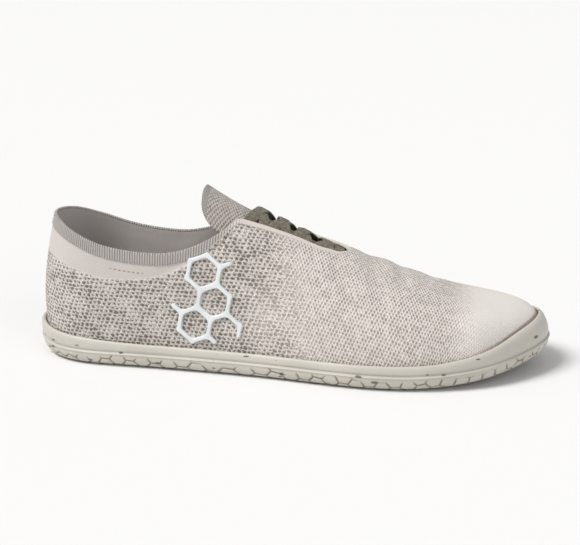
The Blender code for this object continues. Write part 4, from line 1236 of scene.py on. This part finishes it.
def netLines():
    # segments of three hexagons in a zigzag column and of the open lines that leave them
    lean, pitch = math.radians(-netShape["lean"]), netShape["pitch"]
    turn = np.array([[math.cos(lean), -math.sin(lean)], [math.sin(lean), math.cos(lean)]])
    start = np.array([float(xAt(netShape["place"])), netShape["height"]])

    def corner(column, row, angle):
        middle = np.array([(column + 0.5 * (row % 2)) * pitch, row * pitch * math.sqrt(3) / 2])
        way = np.array([math.cos(math.radians(angle)), math.sin(math.radians(angle))])
        return start + turn @ (middle + pitch / math.sqrt(3) * way)

    lines = [(corner(0, row, angle), corner(0, row, angle + 60)) for row in range(3) for angle in range(30, 390, 60)]
    for column, row, first, second, part in netShape["open"]:
        a, b = corner(column, row, first), corner(column, row, second)
        lines.append((a, a + (b - a) * part))
    return lines


# Net: a film whose lift follows the distance to the nearest line, with soft minimum fillets at the joints
def makeNet(name, side):
    lines, soft, shoulder = netLines(), netShape["fillet"] / 2.2, netShape["shoulder"]
    ends = np.array(lines)
    low, high = ends.min(axis=(0, 1)) - 0.004, ends.max(axis=(0, 1)) + 0.004
    a, b = [np.arange(low[k], high[k], netShape["grid"]) for k in (0, 1)]
    gridA, gridB = np.meshgrid(a, b, indexing="ij")
    total = np.zeros(gridA.shape)
    for start, end in lines:
        way = end - start
        t = np.clip(((gridA - start[0]) * way[0] + (gridB - start[1]) * way[1]) / (way @ way), 0, 1)
        total += np.exp(-np.hypot(gridA - start[0] - t * way[0], gridB - start[1] - t * way[1]) / soft)
    away = -np.log(total) * soft
    half = netShape["line"] / 2 - 0.0002
    shape = 1 - smoothStep(half - shoulder * 0.4, half + shoulder, away)
    lift = -0.0006 + (netShape["thickness"] + 0.0011) * shape ** 0.7
    station, sides = stationOf(shareOf(a)), np.full(len(a), float(side))
    points = skin(station, sides, turnsAt(station, sides, np.repeat(b[None], len(a), axis=0)), lift)
    use = away < half + shoulder * 1.15
    faces = gridFaces(len(a), len(b))[use[:-1, :-1] & use[1:, :-1] & use[:-1, 1:] & use[1:, 1:]]
    obj = makeMesh(name, points, faces[:, ::-1] if side < 0 else faces)
    shell = obj.modifiers.new("shell", "SOLIDIFY")
    shell.thickness, shell.offset = netShape["shell"], -1
    return obj


def netMaterial():
    made, tree, shader = newMaterial("netFilm", netLook["film"], 0.38, {"Coat Weight": 0.15, "Coat Roughness": 0.3})
    place = objectPlace(tree)
    feed(shader["Base Color"], blend(ramp(noise(place, 90.0, 3.0), 0.35, 0.8), netLook["film"], netLook["shade"]))
    bumpTo(shader, noise(place, 1500.0), 0.00005)
    return made


film = netMaterial()
link(makeNet("hexNetOuter", -1), film, "net_film", "hex_overlay_lateral")
link(makeNet("hexNetInner", 1), film, "net_film", "hex_overlay_medial")
print("nets done")


studio = {
    "azimuth": 10.0, "elevation": 15.0, "lens": 90.0, "sensor": 36.0, "fill": 0.98, "floor": (0.80, 0.805, 0.812),
    "sky": 0.47, "skyColour": (1.0, 0.99, 0.975),
    # lights: name, where each comes from, strength, spread in degrees, colour
    "lights": (("keyLight", (-0.62, -0.42, 1.0), 2.75, 26.0, (1.0, 0.985, 0.96)),
               ("fillLight", (0.9, -0.9, 0.5), 0.45, 50.0, (0.97, 0.985, 1.0))),
}


def addSun(name, place, strength, spread, colour):
    data = bpy.data.lights.new(name, "SUN")
    data.energy, data.angle, data.color = strength, math.radians(spread), colour
    made = bpy.data.objects.new(name, data)
    made.rotation_euler = Vector(place).to_track_quat("Z", "Y").to_euler()
    bpy.context.scene.collection.objects.link(made)


def setStudio():
    # the camera stands where the CAD box just fills the width of the picture
    low, high = np.array(cadBox[0]), np.array(cadBox[1])
    target = (low + high) / 2
    azimuth, elevation = math.radians(studio["azimuth"]), math.radians(studio["elevation"])
    back = np.array([math.sin(azimuth) * math.cos(elevation), -math.cos(azimuth) * math.cos(elevation),
                     math.sin(elevation)])
    right = np.cross([0, 0, 1], back)
    right /= np.linalg.norm(right)
    corners = np.stack(np.meshgrid(*zip(low, high)), axis=-1).reshape(-1, 3) - target
    need = np.abs(corners @ right) * 2 * studio["lens"] / (studio["sensor"] * studio["fill"]) + corners @ back
    data = bpy.data.cameras.new("camera")
    data.lens, data.sensor_width = studio["lens"], studio["sensor"]
    camera = bpy.data.objects.new("camera", data)
    camera.matrix_world = Matrix(np.column_stack([right, np.cross(back, right), back])).to_4x4()
    camera.location = Vector(target + back * need.max())
    bpy.context.scene.collection.objects.link(camera)
    bpy.context.scene.camera = camera
    bpy.ops.mesh.primitive_plane_add(size=60.0, location=(0, 0, -0.0002))
    floor = bpy.context.object
    floor.name = "floor"
    floor.data.materials.append(newMaterial("paleFloor", studio["floor"], 0.9)[0])
    world = bpy.data.worlds.new("studio")
    bpy.context.scene.world = world
    world.use_nodes = True
    sky = world.node_tree.nodes["Background"].inputs
    feed(sky["Color"], studio["skyColour"])
    feed(sky["Strength"], studio["sky"])
    for light in studio["lights"]:
        addSun(*light)
    bpy.context.scene.view_settings.view_transform = "Standard"


setStudio()
print("studio done")
